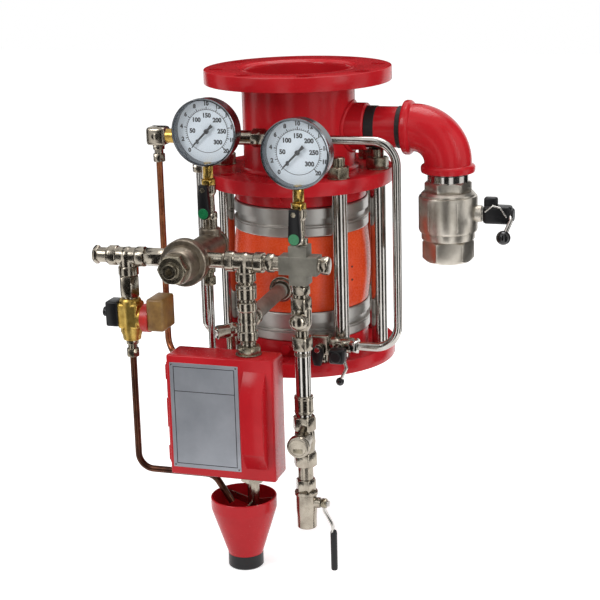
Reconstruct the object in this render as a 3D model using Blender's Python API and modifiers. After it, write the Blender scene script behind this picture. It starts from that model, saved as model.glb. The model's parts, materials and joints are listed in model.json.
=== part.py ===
"""Sleeve type deluge valve with its drain branch, gauges, relay and release box.

Metres, +Z up. The origin is the centre of the inlet flange's lower face, +X is the drain side and
-Y is the front, where the trim hangs.
"""
import math

import bmesh
import bpy
from mathutils import Matrix, Quaternion, Vector

# Clearances
gap = 0.0003             # between pieces that touch on the real valve
thread_gap = 0.0003      # round a screwed pipe end in its socket
running_gap = 0.0006     # round a piece that turns or slides

flat_angle = 0.0005      # radians: faces this nearly in one plane are merged

# Number of sides of round forms, by size
large_sides = 32
inner_sides = 16         # half of large_sides, so that inner corners face outer corners
wide_sides = 20
middle_sides = 16
small_sides = 16
fine_sides = 12
bolt_hole_sides = 10
tiny_sides = 8

# Main bore: 150 mm pipe and its flanges
flange_rim = 0.01905     # bolt circle to the flange's edge
flange_thickness = 0.0210
bolt_room = 0.01915      # clamp to the bolt circle
bolt_hole_radius = 0.0111
bolt_count = 8
pipe_radius = 0.08415
pipe_wall = 0.0071
pipe_set_back = 0.0055   # pipe end below the flange face, room for the weld
spool_height = 0.1707    # lower face of the spool flange to the outlet face

# Valve body between the inlet flange and the spool flange
body_height = 0.2484
bore_radius = 0.0770
collar_step = 0.0040     # collar stands out from the neck
collar_height = 0.0235
collar_shoulder = 0.0055
neck_wall = 0.0080
clamp_height = 0.0435
clamp_wall = 0.0065
clamp_groove_depth = 0.0045
clamp_groove_height = 0.0085
clamp_split = 0.0100
clamp_lug = 0.0120
clamp_lug_thickness = 0.0080
clamp_lug_height = 0.0220
clamp_split_reach = 0.0600
clamp_bolt_radius = 0.0040
clamp_bolt_flats = 0.0130
clamp_angle = 112.5
housing_bulge = 0.0045
sleeve_room = 0.0100     # housing is wider inside than the bore, for the sleeve's ends
sleeve_wall = 0.0095
core_radius = 0.0470
core_ring_height = 0.0140
core_ring_wall = 0.0060
core_rib_thickness = 0.0070
plug_offset = 2.0
plug_small_flats = 0.0130
plug_small_height = 0.0060
stud_radius = 0.0100
stud_foot = 0.0020
spacer_radius = 0.0118   # tube over each stud between the flanges
stud_angles = (-45, 0, 45, 90, 135, 180)
stud_top = 0.0130
nut_flats = 0.0300
nut_height = 0.0175

# Drain branch, 50 mm pipe
drain_rise = 0.0835      # spool flange's lower face to the branch
drain_pipe_radius = 0.03015
drain_pipe_wall = 0.0040
drain_socket_radius = 0.0350
drain_socket_stand = 0.02285
drain_nipple_run = 0.0555   # of the nipple, in view
drain_elbow_arm = 0.0650
drain_elbow_radius = 0.0350
drain_bead_radius = 0.0400
drain_bead_length = 0.0110
drain_thread = 0.0150
drain_body_radius = 0.0435
drain_close_nipple = 0.0275
drain_body_height = 0.0710
drain_hex_flats = 0.0700
drain_hex_height = 0.0335
drain_ball_radius = 0.0320
drain_ball_bore = 0.0235
drain_stem_radius = 0.0065
drain_stem_length = 0.0500

# Front trim: the run of small fittings in front of the body
trim_stand = 0.1453      # in front of the flange's edge
stack_x = 0.0110
relay_space = 0.0800     # from the stack to the relay
left_tee_space = 0.0930  # from the relay to the left tee
cross_space = 0.0780     # from the stack to the cross
port_rise = 0.1077
stack_drop = 0.0285      # between the two tees of the stack
small_pipe_radius = 0.01065
small_pipe_bore = 0.0079
small_pipe_way = 0.0073
small_thread = 0.0100
run_flats = 0.0230
open_nipple = 0.0230
stack_neck = 0.0040
box_entry = 0.0180
box_nut_flats = 0.0310
box_nut_height = 0.0130
tee_arm = 0.0270
tee_radius = 0.0125
tee_band_radius = 0.0142
tee_band = 0.0130
port_boss_radius = 0.0190
port_boss_height = 0.0160
cross_arm = 0.0270
cross_width = 0.0254
plug_flats = 0.0220
plug_height = 0.0140

# Relay valve, its axis runs front to back
relay_rear = 0.0950
relay_rear_radius = 0.0205
relay_flange_radius = 0.0350
relay_flange = 0.0100
relay_flange_front = -0.0170
relay_bonnet_radius = 0.0270
relay_bonnet_front = -0.0530
relay_cap_flats = 0.0370
relay_cap_front = -0.0700
relay_port_radius = 0.0102
relay_port_front = -0.0780
relay_bolt_circle = 0.0280
relay_bolt_radius = 0.0040
relay_piston_radius = 0.0120
relay_travel = 0.0080
relay_drop_back = 0.0620
relay_drop_side = 0.0030
relay_tube_inset = 0.0325

# Gauges and gauge valves
gauge_radius = 0.0475
gauge_depth = 0.0300
gauge_wall = 0.0018
gauge_rise = 0.0785
gauge_bezel = 0.0035
gauge_front = 0.0120
gauge_floor = -0.0045
gauge_lip = 0.0022
needle_length = 0.0320
needle_tail = 0.0110
needle_width = 0.0022
needle_start = 225.0
needle_level = 0.0041
needle_arbor = 0.0014
gauge_stem_flats = 0.0140
gauge_spigot_radius = 0.0060
gauge_valve_top = 0.0120
gauge_valve_radius = 0.0080
gauge_valve_drop = 0.0455
gauge_lever_length = 0.0420
gauge_lever_width = 0.0175
gauge_lever_thickness = 0.0090
left_gauge_back = 0.0790 # behind the run
left_valve_stand = 0.0580

# Column under the cross
check_neck = 0.0180
check_end = 0.0180
check_flats = 0.0260
check_height = 0.0560
check_ball_radius = 0.0085
check_lift = 0.0040
lower_pipe_run = 0.0912
strainer_joint = 0.0040
strainer_height = 0.0496
strainer_foot = 0.0225
strainer_cap_radius = 0.0160
strainer_pocket = 0.0290
test_valve_neck = 0.0192
test_valve_height = 0.0720
test_valve_radius = 0.0135
test_lever_drop = 0.0990

# Supply tubing
supply_y = -0.1100
supply_rise = 0.0810     # above the spool flange's lower face
tube_radius = 0.00635
tube_bend = 0.0350
supply_drop_x = 0.1780
supply_low_rise = 0.0270 # above the inlet flange
supply_block_x = 0.0620
supply_elbow_x = -0.1820
supply_tee_x = -0.1180
supply_coupling_x = -0.0350
supply_coupling = 0.0210
left_tube_drop = 0.0605
left_tube_inset = 0.0160
rear_tube_angle = -135.0
copper_radius = 0.0048
copper_nut_flats = 0.0165
tube_nut_flats = 0.0210
tube_nut_height = 0.0120
tube_nut_reach = 0.0260
tube_entry = 0.0117

# Solenoid valve
solenoid_neck = 0.0330
solenoid_flats = 0.0250
solenoid_height = 0.0600

# Release box and drip funnel
box_left_reach = 0.1124
box_right_reach = 0.0430
box_hang = 0.0485        # below the stack tee's centre
box_height = 0.1750
box_depth = 0.0480
box_front = -0.0270
box_wall = 0.0020
box_corner = 0.0040
door_depth = 0.0100
door_bulge = 0.0180
bulge_width = 0.0320
bulge_inset = 0.0265     # its middle, from the box's right side
bulge_top = 0.0165
bulge_bottom = 0.0175
bulge_slope = 0.0300
hinge_pin_radius = 0.0020
hinge_pin_offset = 0.0023
drip_pipe_radius = 0.0085
funnel_shift = 0.0150
funnel_radius = 0.0465
funnel_hang = 0.0335
funnel_band = 0.0180
funnel_height = 0.0860
funnel_neck_radius = 0.0245
funnel_wall = 0.0022
funnel_ring_height = 0.0190

# Radii, levels and places worked out from the sizes above
housing_bore = bore_radius + sleeve_room
neck_radius = housing_bore + neck_wall
collar_radius = neck_radius + collar_step
clamp_radius = neck_radius + clamp_wall
bolt_circle = clamp_radius + bolt_room
flange_radius = bolt_circle + flange_rim
body_bottom = flange_thickness + gap
body_top = body_bottom + body_height
spool_bottom = body_top + gap
outlet_face = spool_bottom + spool_height
lower_joint = body_bottom + collar_height + clamp_height / 2
upper_joint = body_top - collar_height - clamp_height / 2
drain_height = spool_bottom + drain_rise
drain_socket_end = pipe_radius + drain_socket_stand
drain_elbow_x = drain_socket_end + drain_nipple_run + drain_elbow_arm
drain_body_top = drain_height - drain_elbow_arm - drain_close_nipple
trim_y = -(flange_radius + trim_stand)
port_z = body_bottom + port_rise
run_z = port_z + 2 * tee_arm + stack_drop
relay_x = stack_x - relay_space
left_tee_x = relay_x - left_tee_space
cross_x = stack_x + cross_space
cross_bottom = run_z - cross_arm
cross_top = run_z + cross_arm
port_angle = math.atan2(trim_y, stack_x)
right_valve_z = cross_top + gauge_valve_drop
seated = small_thread - gap
relay_arm = relay_rear_radius + 0.0060
left_gauge_y = trim_y + left_gauge_back
left_valve_z = run_z + relay_arm + left_valve_stand
check_low = cross_bottom - check_neck - check_height - check_end
lower_pipe_bottom = check_low - lower_pipe_run
strainer_bottom = lower_pipe_bottom - strainer_joint - strainer_height
test_valve_top = strainer_bottom - strainer_foot - test_valve_neck
test_valve_bottom = test_valve_top - test_valve_height
supply_z = spool_bottom + supply_rise
supply_low_z = flange_thickness + supply_low_rise
box_left = stack_x - box_left_reach
box_right = stack_x + box_right_reach
box_top = port_z - box_hang
box_bottom = box_top - box_height
relay_tube_z = box_top - relay_tube_inset
left_tube_z = box_top - left_tube_drop
funnel_x = stack_x - funnel_shift
funnel_top = box_bottom - funnel_hang
funnel_bottom = funnel_top - funnel_height
solenoid_top = run_z - tee_arm - solenoid_neck
solenoid_bottom = solenoid_top - solenoid_height
box_back = trim_y + box_front + box_depth
tube_start = tube_nut_reach - tube_entry

up = Vector((0, 0, 1))
right = Vector((1, 0, 0))
front = Vector((0, -1, 0))
left = -right
down = -up

# Finishes: colour, roughness, metallic
finishes = {
    "red paint": ((0.36, 0.012, 0.018), 0.30, 0.0),
    "orange paint": ((0.62, 0.055, 0.015), 0.32, 0.0),
    "stainless": ((0.55, 0.54, 0.52), 0.28, 1.0),
    "zinc steel": ((0.45, 0.44, 0.40), 0.38, 1.0),
    "nickel": ((0.42, 0.39, 0.34), 0.30, 1.0),
    "brass": ((0.60, 0.42, 0.13), 0.30, 1.0),
    "copper": ((0.42, 0.17, 0.08), 0.35, 1.0),
    "rubber": ((0.02, 0.02, 0.02), 0.75, 0.0),
    "black plastic": ((0.015, 0.015, 0.017), 0.45, 0.0),
    "brown plastic": ((0.10, 0.035, 0.02), 0.45, 0.0),
}


def start_scene():
    for obj in list(bpy.data.objects):
        bpy.data.objects.remove(obj, do_unlink=True)
    parts = bpy.data.collections.new("deluge_valve")
    cutters = bpy.data.collections.new("cutters")
    for collection in (parts, cutters):
        bpy.context.scene.collection.children.link(collection)
    return parts, cutters


parts, cutters = start_scene()


def finish_material(name):
    found = bpy.data.materials.get(name)
    if found:
        return found
    colour, roughness, metallic = finishes[name]
    material = bpy.data.materials.new(name)
    material.use_nodes = True
    shader = material.node_tree.nodes["Principled BSDF"]
    shader.inputs["Base Color"].default_value = (*colour, 1)
    shader.inputs["Roughness"].default_value = roughness
    shader.inputs["Metallic"].default_value = metallic
    return material


def new_object(name, mesh, at=(0, 0, 0), axis=up, spin=0.0):
    """Puts a mesh at a place, with its local Z along axis and turned about it by spin degrees."""
    obj = bpy.data.objects.new(name, mesh)
    direction = Vector(axis).normalized()
    if direction.dot(up) < -0.9999:
        turn = Quaternion(right, math.pi)
    else:
        turn = up.rotation_difference(direction)
    obj.rotation_mode = "QUATERNION"
    obj.rotation_quaternion = turn @ Quaternion(up, math.radians(spin))
    obj.location = at
    parts.objects.link(obj)
    return obj


def update():
    bpy.context.view_layer.update()


def cylinder(radius, height, sides=fine_sides, at=(0, 0, 0), axis=up, spin=0.0, top_radius=None):
    """A cylinder or cone that starts at a point and runs along axis."""
    mesh = bpy.data.meshes.new("cylinder")
    body = bmesh.new()
    bmesh.ops.create_cone(body, cap_ends=True, segments=sides, radius1=radius,
                          radius2=radius if top_radius is None else top_radius, depth=height)
    bmesh.ops.translate(body, verts=body.verts, vec=(0, 0, height / 2))
    body.to_mesh(mesh)
    body.free()
    return new_object("cylinder", mesh, at, axis, spin)


def hexagon(flats, height, at=(0, 0, 0), axis=up, spin=0.0):
    return cylinder(flats / math.sqrt(3), height, 6, at, axis, spin)


def block(size, at=(0, 0, 0), axis=up, spin=0.0, edge=0.0, segments=1):
    """A box centred on a point, with its edges bevelled by edge."""
    mesh = bpy.data.meshes.new("block")
    body = bmesh.new()
    bmesh.ops.create_cube(body, size=1)
    bmesh.ops.scale(body, vec=size, verts=body.verts)
    if edge:
        bmesh.ops.bevel(body, geom=list(body.edges), offset=edge, segments=segments, affect="EDGES",
                        profile=0.5)
    body.to_mesh(mesh)
    body.free()
    return new_object("block", mesh, at, axis, spin)


def ball(radius, at=(0, 0, 0), sides=fine_sides, rings=5):
    mesh = bpy.data.meshes.new("ball")
    body = bmesh.new()
    bmesh.ops.create_uvsphere(body, u_segments=sides, v_segments=rings, radius=radius)
    body.to_mesh(mesh)
    body.free()
    return new_object("ball", mesh, at)


def turned(profile, at=(0, 0, 0), axis=up, sides=middle_sides, spin=0.0):
    """A profile of (radius, height) points turned about axis: closed, or from axis to axis."""
    area = 0.0
    for (r0, z0), (r1, z1) in zip(profile, profile[1:] + profile[:1]):
        area += r0 * z1 - r1 * z0
    points = profile[::-1] if area > 0 else profile
    closed = min(r for r, z in points) > 0
    mesh = bpy.data.meshes.new("profile")
    edges = [(i, i + 1) for i in range(len(points) - 1)]
    if closed:
        edges.append((len(points) - 1, 0))
    mesh.from_pydata([(r, 0, z) for r, z in points], edges, [])
    obj = new_object("turned", mesh, at, axis, spin)
    screw = obj.modifiers.new("turn", "SCREW")
    screw.steps = sides
    screw.render_steps = sides
    screw.use_merge_vertices = True
    screw.merge_threshold = 0.00001
    screw.use_smooth_shade = False
    return made_real(obj)


def swept(points, radius, sides=3):
    """A round tube along hand set points joined by straight runs."""
    curve = bpy.data.curves.new("sweep", "CURVE")
    curve.dimensions = "3D"
    curve.bevel_depth = radius
    curve.bevel_resolution = sides
    curve.use_fill_caps = True
    line = curve.splines.new("POLY")
    line.points.add(len(points) - 1)
    for point, place in zip(line.points, points):
        point.co = (*place, 1)
    obj = bpy.data.objects.new("sweep", curve)
    parts.objects.link(obj)
    return made_real(obj)


def rounded_route(corners, bend, steps=3):
    """Straight runs through the corners with an arc of radius bend at each inner corner."""
    corners = [Vector(corner) for corner in corners]
    route = [corners[0]]
    for before, corner, after in zip(corners, corners[1:], corners[2:]):
        to_before = (before - corner).normalized()
        to_after = (after - corner).normalized()
        half = to_before.angle(to_after) / 2
        centre = corner + (to_before + to_after).normalized() * bend / math.sin(half)
        first = corner + to_before * bend / math.tan(half) - centre
        last = corner + to_after * bend / math.tan(half) - centre
        whole = first.angle(last)
        for step in range(steps + 1):
            share = step / steps
            route.append(centre + (first * math.sin((1 - share) * whole)
                                   + last * math.sin(share * whole)) / math.sin(whole))
    route.append(corners[-1])
    return route


def plate(outline, thickness, at=(0, 0, 0), axis=up, spin=0.0):
    """A flat outline of (x, y) points, thickness deep and centred on its plane."""
    curve = bpy.data.curves.new("outline", "CURVE")
    curve.dimensions = "2D"
    curve.fill_mode = "BOTH"
    curve.extrude = thickness / 2
    line = curve.splines.new("POLY")
    line.points.add(len(outline) - 1)
    for point, place in zip(line.points, outline):
        point.co = (place[0], place[1], 0, 1)
    line.use_cyclic_u = True
    obj = new_object("plate", curve, at, axis, spin)
    return made_real(obj)


def made_real(obj):
    """Turns a curve, or a mesh with modifiers, into a plain mesh at the same place."""
    update()
    evaluated = obj.evaluated_get(bpy.context.evaluated_depsgraph_get())
    mesh = bpy.data.meshes.new_from_object(evaluated)
    body = bmesh.new()
    body.from_mesh(mesh)
    bmesh.ops.remove_doubles(body, verts=body.verts, dist=0.000001)
    if obj.type == "CURVE":
        bmesh.ops.triangulate(body, faces=body.faces)
    bmesh.ops.recalc_face_normals(body, faces=body.faces)
    body.to_mesh(mesh)
    body.free()
    real = bpy.data.objects.new(obj.name, mesh)
    real.matrix_world = obj.matrix_world.copy()
    parts.objects.link(real)
    bpy.data.objects.remove(obj, do_unlink=True)
    return real


def combined(base, adds=(), cuts=(), keeps=()):
    """Boolean work on base: adds are united, cuts are taken away, keeps are intersected."""
    for operation, tools in (("UNION", adds), ("INTERSECT", keeps), ("DIFFERENCE", cuts)):
        for tool in tools:
            parts.objects.unlink(tool)
            cutters.objects.link(tool)
            tool.hide_render = True
            tool.display_type = "WIRE"
            step = base.modifiers.new(operation.lower(), "BOOLEAN")
            step.operation = operation
            step.solver = "EXACT"
            step.object = tool
    real = made_real(base)
    for tool in (*adds, *keeps, *cuts):
        bpy.data.objects.remove(tool, do_unlink=True)
    return real


def node(name, finish, solid, pivot=None):
    """One named sub-part, with its origin at pivot if it moves."""
    update()
    origin = Vector(pivot) if pivot else Vector((0, 0, 0))
    mesh = solid.data.copy()
    mesh.transform(solid.matrix_world)
    mesh.transform(Matrix.Translation(-origin))
    bpy.data.objects.remove(solid, do_unlink=True)
    body = bmesh.new()
    body.from_mesh(mesh)
    bmesh.ops.dissolve_limit(body, angle_limit=flat_angle, verts=body.verts, edges=body.edges)
    bmesh.ops.triangulate(body, faces=body.faces)
    body.to_mesh(mesh)
    body.free()
    mesh.name = name
    obj = bpy.data.objects.new(name, mesh)
    obj.location = origin
    parts.objects.link(obj)
    mesh.shade_smooth()
    mesh.set_sharp_from_angle(angle=math.radians(35))
    mesh.materials.append(finish_material(finish))
    return obj


def on_circle(radius, degrees, z=0.0):
    angle = math.radians(degrees)
    return Vector((radius * math.cos(angle), radius * math.sin(angle), z))


# Flanges, spool and valve body

def flange(name, bottom, first_angle, bore, face_chamfer=0.0, extra_holes=(), hole_sides=bolt_hole_sides):
    """A flange ring with its bolt holes; bottom is the level of its lower face."""
    profile = [(bore, 0), (flange_radius, 0), (flange_radius, flange_thickness),
               (bore + face_chamfer, flange_thickness)]
    if face_chamfer:
        profile.append((bore, flange_thickness - face_chamfer))
    ring = turned(profile, (0, 0, bottom), sides=large_sides)
    holes = []
    for index in range(bolt_count):
        place = on_circle(bolt_circle, first_angle + index * 360 / bolt_count, bottom - gap)
        holes.append(cylinder(bolt_hole_radius, flange_thickness + 2 * gap, hole_sides, place, spin=7))
    for place, radius in extra_holes:
        holes.append(cylinder(radius, flange_thickness, fine_sides, place))
    return node(name, "red paint", combined(ring, [], holes))


def spool():
    slip_on = pipe_radius + gap
    flange("outlet_flange", outlet_face - flange_thickness, 180 / bolt_count, slip_on, 0.0040)
    flange("spool_flange", spool_bottom, 0, slip_on)
    low = spool_bottom + pipe_set_back
    tall = outlet_face - pipe_set_back - low
    inner = pipe_radius - pipe_wall
    pipe = turned([(inner, 0), (pipe_radius, 0), (pipe_radius, tall), (inner, tall)], (0, 0, low),
                  sides=large_sides)
    branch = (0, 0, drain_height)
    way = drain_pipe_radius - drain_pipe_wall
    seat = drain_pipe_radius + thread_gap
    opening = turned([(0, inner / 2), (way, inner / 2), (way, drain_socket_end - drain_thread),
                      (seat, drain_socket_end - drain_thread), (seat, drain_socket_end + 0.002),
                      (0, drain_socket_end + 0.002)], branch, right, wide_sides)
    socket = turned([(0, inner * 0.9), (drain_socket_radius, inner * 0.9),
                     (drain_socket_radius, drain_socket_end - 0.002),
                     (drain_socket_radius - 0.002, drain_socket_end), (0, drain_socket_end)],
                    branch, right, middle_sides)
    bore = cylinder(inner + 0.001, drain_socket_radius * 3, large_sides,
                    (0, 0, drain_height - drain_socket_radius * 1.5))
    socket = combined(socket, [], [bore])
    node("spool_pipe", "red paint", combined(pipe, [socket], [opening]))


def supply_seats():
    """Where the two supply fittings screw into the inlet flange."""
    return {"block": Vector((supply_block_x, supply_y, 0)), "rear": on_circle(bolt_circle, rear_tube_angle)}


def body():
    block_hole = (supply_seats()["block"] + up * (flange_thickness - small_thread), small_pipe_radius + gap)
    flange("inlet_flange", 0, 0, bore_radius - core_ring_wall / 2, extra_holes=[block_hole],
           hole_sides=fine_sides)
    for bottom, turn_over in ((body_bottom, 1), (body_top, -1)):
        reach = collar_height + clamp_height / 2 - gap / 2
        shoulder = collar_height + collar_shoulder
        profile = [(bore_radius, 0), (collar_radius, 0), (collar_radius, collar_height - gap),
                   (neck_radius, collar_height - gap), (neck_radius, reach),
                   (housing_bore, reach), (housing_bore, shoulder), (bore_radius, shoulder)]
        profile = [(r, z * turn_over) for r, z in profile]
        ring = turned(profile, (0, 0, bottom), sides=large_sides)
        plug_angle = -90 + plug_offset * turn_over
        plug_level = bottom + turn_over * collar_height / 2
        plug = hexagon(plug_small_flats, plug_small_height + 0.0010,
                       on_circle(collar_radius - 0.0010, plug_angle, plug_level), on_circle(1, plug_angle))
        node("lower_collar" if turn_over > 0 else "upper_collar", "red paint", combined(ring, [plug]))
    low = lower_joint + gap / 2
    high = upper_joint - gap / 2
    barrel_low = body_bottom + collar_height + clamp_height + gap
    barrel_high = body_top - collar_height - clamp_height - gap
    profile = [(housing_bore, low), (neck_radius, low), (neck_radius, barrel_low)]
    steps = 4
    for step in range(steps + 1):
        share = step / steps
        swell = housing_bulge * math.sin(math.pi * share)
        profile.append((collar_radius + 0.0005 + swell, barrel_low + share * (barrel_high - barrel_low)))
    profile += [(neck_radius, barrel_high), (neck_radius, high), (housing_bore, high)]
    shell = turned(profile, sides=large_sides)
    port_hole = cylinder(small_pipe_radius + thread_gap, collar_radius * 1.5, small_sides, (0, 0, port_z),
                         (math.cos(port_angle), math.sin(port_angle), 0))
    node("valve_housing", "orange paint", combined(shell, [], [port_hole]))
    sleeve_and_core()
    clamps()


def sleeve_and_core():
    """The rubber sleeve is shut on the core, which is how the valve stands when it is set."""
    low = body_bottom + collar_height + collar_shoulder + gap
    high = body_top - collar_height - collar_shoulder - gap
    outer_end = housing_bore - gap
    inner_end = bore_radius
    waist = core_radius + gap
    steps = 6
    inside, outside = [], []
    for step in range(steps + 1):
        share = step / steps
        level = low + share * (high - low)
        close = min(1.0, 1.15 * math.sin(math.pi * share)) ** 1.5
        inside.append((inner_end + (waist - inner_end) * close, level))
        outside.append((outer_end + (waist + sleeve_wall - outer_end) * close, level))
    node("valve_sleeve", "rubber", turned(outside + inside[::-1], sides=inner_sides))
    ring_low = body_bottom + gap
    ring_outer = bore_radius - gap
    ring = turned([(ring_outer - core_ring_wall, ring_low), (ring_outer, ring_low),
                   (ring_outer, ring_low + core_ring_height),
                   (ring_outer - core_ring_wall, ring_low + core_ring_height)], sides=inner_sides)
    bulb_low = body_bottom + collar_height * 0.4
    bulb_high = body_top - collar_height
    bulb = []
    for step in range(7):
        share = step / 6
        bulb.append((core_radius * math.sin(math.pi * share) ** 0.6 if 0 < share < 1 else 0.0,
                     bulb_low + share * (bulb_high - bulb_low)))
    bulb = turned(bulb, sides=inner_sides)
    ribs = []
    for angle in (45, 135):
        ribs.append(block((2 * ring_outer - core_ring_wall, core_rib_thickness, core_ring_height - 0.002),
                          (0, 0, ring_low + core_ring_height / 2), spin=angle))
    node("valve_core", "nickel", combined(bulb, [ring, *ribs]))


def clamps():
    """Each clamp is one split band with a groove, drawn shut by a bolt through two lugs behind."""
    split = on_circle(1, clamp_angle)
    across = Vector((-split.y, split.x, 0))
    for name, middle in (("lower_clamp", lower_joint), ("upper_clamp", upper_joint)):
        half = clamp_height / 2 - gap
        inner = neck_radius + gap
        groove = clamp_groove_height / 2
        profile = [(inner, -half), (clamp_radius, -half), (clamp_radius, -groove),
                   (clamp_radius - clamp_groove_depth, -groove + 0.001),
                   (clamp_radius - clamp_groove_depth, groove - 0.001),
                   (clamp_radius, groove), (clamp_radius, half), (inner, half)]
        band = turned(profile, (0, 0, middle), sides=large_sides)
        lug_at = split * (clamp_radius + clamp_lug / 2 - 0.002) + up * middle
        lugs = block((clamp_lug, clamp_split + 2 * clamp_lug_thickness, clamp_lug_height), lug_at,
                     spin=clamp_angle, edge=0.001)
        slot = block((clamp_split_reach, clamp_split, clamp_height * 1.2), split * clamp_radius + up * middle,
                     spin=clamp_angle)
        face = clamp_split / 2 + clamp_lug_thickness
        bolt = cylinder(clamp_bolt_radius, 2 * face + 0.0020, tiny_sides, lug_at - across * (face + 0.0010),
                        across)
        head = hexagon(clamp_bolt_flats, 0.0076, lug_at - across * (face + 0.0060), across)
        nut = hexagon(clamp_bolt_flats, 0.0076, lug_at + across * (face - 0.0016), across)
        node(name, "stainless", combined(combined(band, [lugs], [slot]), [bolt, head, nut]))


def studs():
    """Six tie rods from the inlet flange to the spool flange, each with its nut run up on it."""
    top = spool_bottom + flange_thickness
    for index, angle in enumerate(stud_angles):
        foot = on_circle(bolt_circle, angle, stud_foot)
        rod = cylinder(stud_radius, top + gap + nut_height + stud_top - foot.z, fine_sides, foot)
        nut = hexagon(nut_flats, nut_height, on_circle(bolt_circle, angle, top + gap), spin=angle)
        spacer = cylinder(spacer_radius, body_height, fine_sides, on_circle(bolt_circle, angle, body_bottom))
        node("tie_rod_%d" % (index + 1), "zinc steel", combined(rod, [nut, spacer]))


# Drain branch

def bored(arms, socket_depth, socket_radius, bore):
    """Cutters for the waterways of a fitting: a socket and a plain bore down each arm."""
    cuts = []
    for index, (origin, axis, length) in enumerate(arms):
        back = 0.0010 + 0.0007 * index
        cuts.append(cylinder(bore - 0.0001 * index, length + back - socket_depth + 0.0010, tiny_sides,
                             origin - axis * back, axis, 5 * index))
        cuts.append(cylinder(socket_radius, socket_depth + 0.0020, small_sides,
                             origin + axis * (length - socket_depth), axis, 5 * index))
    return cuts


def drain_branch():
    centre = Vector((drain_elbow_x, 0, drain_height))
    face_x = drain_elbow_x - drain_elbow_arm
    face_z = drain_height - drain_elbow_arm
    quarter = []
    bend = drain_elbow_arm - drain_bead_length - 0.004
    pivot = centre + Vector((-bend, 0, -bend))
    for step in range(6):
        angle = math.radians(90 - step * 90 / 5)
        quarter.append(pivot + Vector((bend * math.cos(angle), 0, bend * math.sin(angle))))
    route = [Vector((face_x + 0.002, 0, drain_height)), *quarter, Vector((drain_elbow_x, 0, face_z + 0.002))]
    shell = swept(route, drain_elbow_radius, 5)
    beads = []
    for start, axis in (((face_x, 0, drain_height), right), ((drain_elbow_x, 0, face_z), up)):
        edge = 0.0035
        beads.append(turned([(0, 0), (drain_bead_radius - edge, 0), (drain_bead_radius, edge),
                             (drain_bead_radius, drain_bead_length), (0, drain_bead_length)],
                            start, axis, wide_sides))
    socket = drain_pipe_radius + thread_gap
    inner = drain_pipe_radius - drain_pipe_wall
    way = swept([Vector((face_x - 0.002, 0, drain_height)), *quarter,
                 Vector((drain_elbow_x, 0, face_z - 0.002))], inner, 5)
    ends = [cylinder(socket, drain_thread + 0.002, wide_sides, (face_x - 0.002, 0, drain_height), right),
            cylinder(socket, drain_thread + 0.002, wide_sides, (drain_elbow_x, 0, face_z - 0.002), up)]
    node("drain_elbow", "red paint", combined(shell, beads, [combined(ends[0], [way, ends[1]])]))

    screwed = drain_thread - gap
    start = drain_socket_end - screwed
    long_nipple = pipe_piece((start, 0, drain_height), right, face_x + screwed - start,
                             drain_pipe_radius, drain_pipe_wall, wide_sides)
    node("drain_nipple", "red paint", long_nipple)
    drain_valve(drain_body_top + 0.0160, face_z + screwed)


def pipe_piece(start, axis, length, radius, wall, sides=fine_sides):
    """A plain length of pipe."""
    inner = radius - wall
    return turned([(inner, 0), (radius, 0), (radius, length), (inner, length)], start, axis, sides)


def drain_valve(top_face, nipple_top):
    """Two piece ball valve: body with a hex neck and nipple above, hex tailpiece below, ball between."""
    x = drain_elbow_x
    low = drain_body_top - drain_body_height
    middle = (drain_body_top + low) / 2 + 0.003
    step = 0.0120
    body_profile = [(0, low), (drain_body_radius - 0.004, low), (drain_body_radius - 0.004, low + step),
                    (drain_body_radius, low + step), (drain_body_radius, drain_body_top - 0.005),
                    (drain_body_radius - 0.007, drain_body_top), (0, drain_body_top)]
    shell = turned(body_profile, (x, 0, 0), sides=wide_sides)
    neck = hexagon(drain_hex_flats - 0.003, top_face - drain_body_top + 0.004, (x, 0, drain_body_top - 0.004),
                   up, 15)
    close_nipple = cylinder(drain_pipe_radius, nipple_top - drain_body_top, wide_sides,
                            (x, 0, drain_body_top))
    boss = cylinder(drain_stem_radius + 0.006, drain_body_radius + 0.008, fine_sides, (x, 0, middle), right)
    ball_room = drain_ball_radius + running_gap
    cavity = turned([(0, low - 0.002), (ball_room, low - 0.002), (ball_room, middle + 0.006),
                     (drain_ball_bore, middle + drain_ball_radius), (drain_ball_bore, nipple_top + 0.002),
                     (0, nipple_top + 0.002)],
                    (x, 0, 0), sides=wide_sides)
    stem_hole = cylinder(drain_stem_radius + running_gap, drain_body_radius + 0.020, fine_sides,
                         (x, 0, middle), right)
    node("drain_valve_body", "nickel", combined(shell, [neck, close_nipple, boss], [cavity, stem_hole]))

    tail_top = low - gap
    tail_bottom = tail_top - drain_hex_height
    tail = hexagon(drain_hex_flats, drain_hex_height, (x, 0, tail_bottom), up, 15)
    spigot = cylinder(drain_ball_radius - 0.001, middle - 0.0215 - tail_top + 0.002, wide_sides,
                      (x, 0, tail_top - 0.002))
    outlet = turned([(0, tail_bottom - 0.002), (drain_pipe_radius, tail_bottom - 0.002),
                     (drain_pipe_radius, tail_bottom + 0.018), (drain_ball_bore, tail_bottom + 0.018),
                     (drain_ball_bore, middle), (0, middle)], (x, 0, 0), sides=wide_sides)
    seat = ball(drain_ball_radius + gap, (x, 0, middle), small_sides, 8)
    node("drain_valve_tailpiece", "nickel", combined(tail, [spigot], [outlet, seat]))

    pivot = Vector((x, 0, middle))
    sphere = ball(drain_ball_radius - gap, pivot, small_sides, 8)
    stem = cylinder(drain_stem_radius, drain_stem_length + 0.006, fine_sides, pivot, right)
    bore = cylinder(drain_ball_bore, drain_ball_radius * 2.4, wide_sides,
                    pivot - Vector((0, drain_ball_radius * 1.2, 0)),
                    (0, 1, 0))
    node("drain_valve_ball", "stainless", combined(sphere, [stem], [bore]), pivot)
    hub_start = pivot + right * (drain_body_radius + 0.0095)
    handle = locking_handle(hub_start, drain_stem_radius, 1.0)
    node("drain_valve_handle", "black plastic", handle, pivot)


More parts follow.
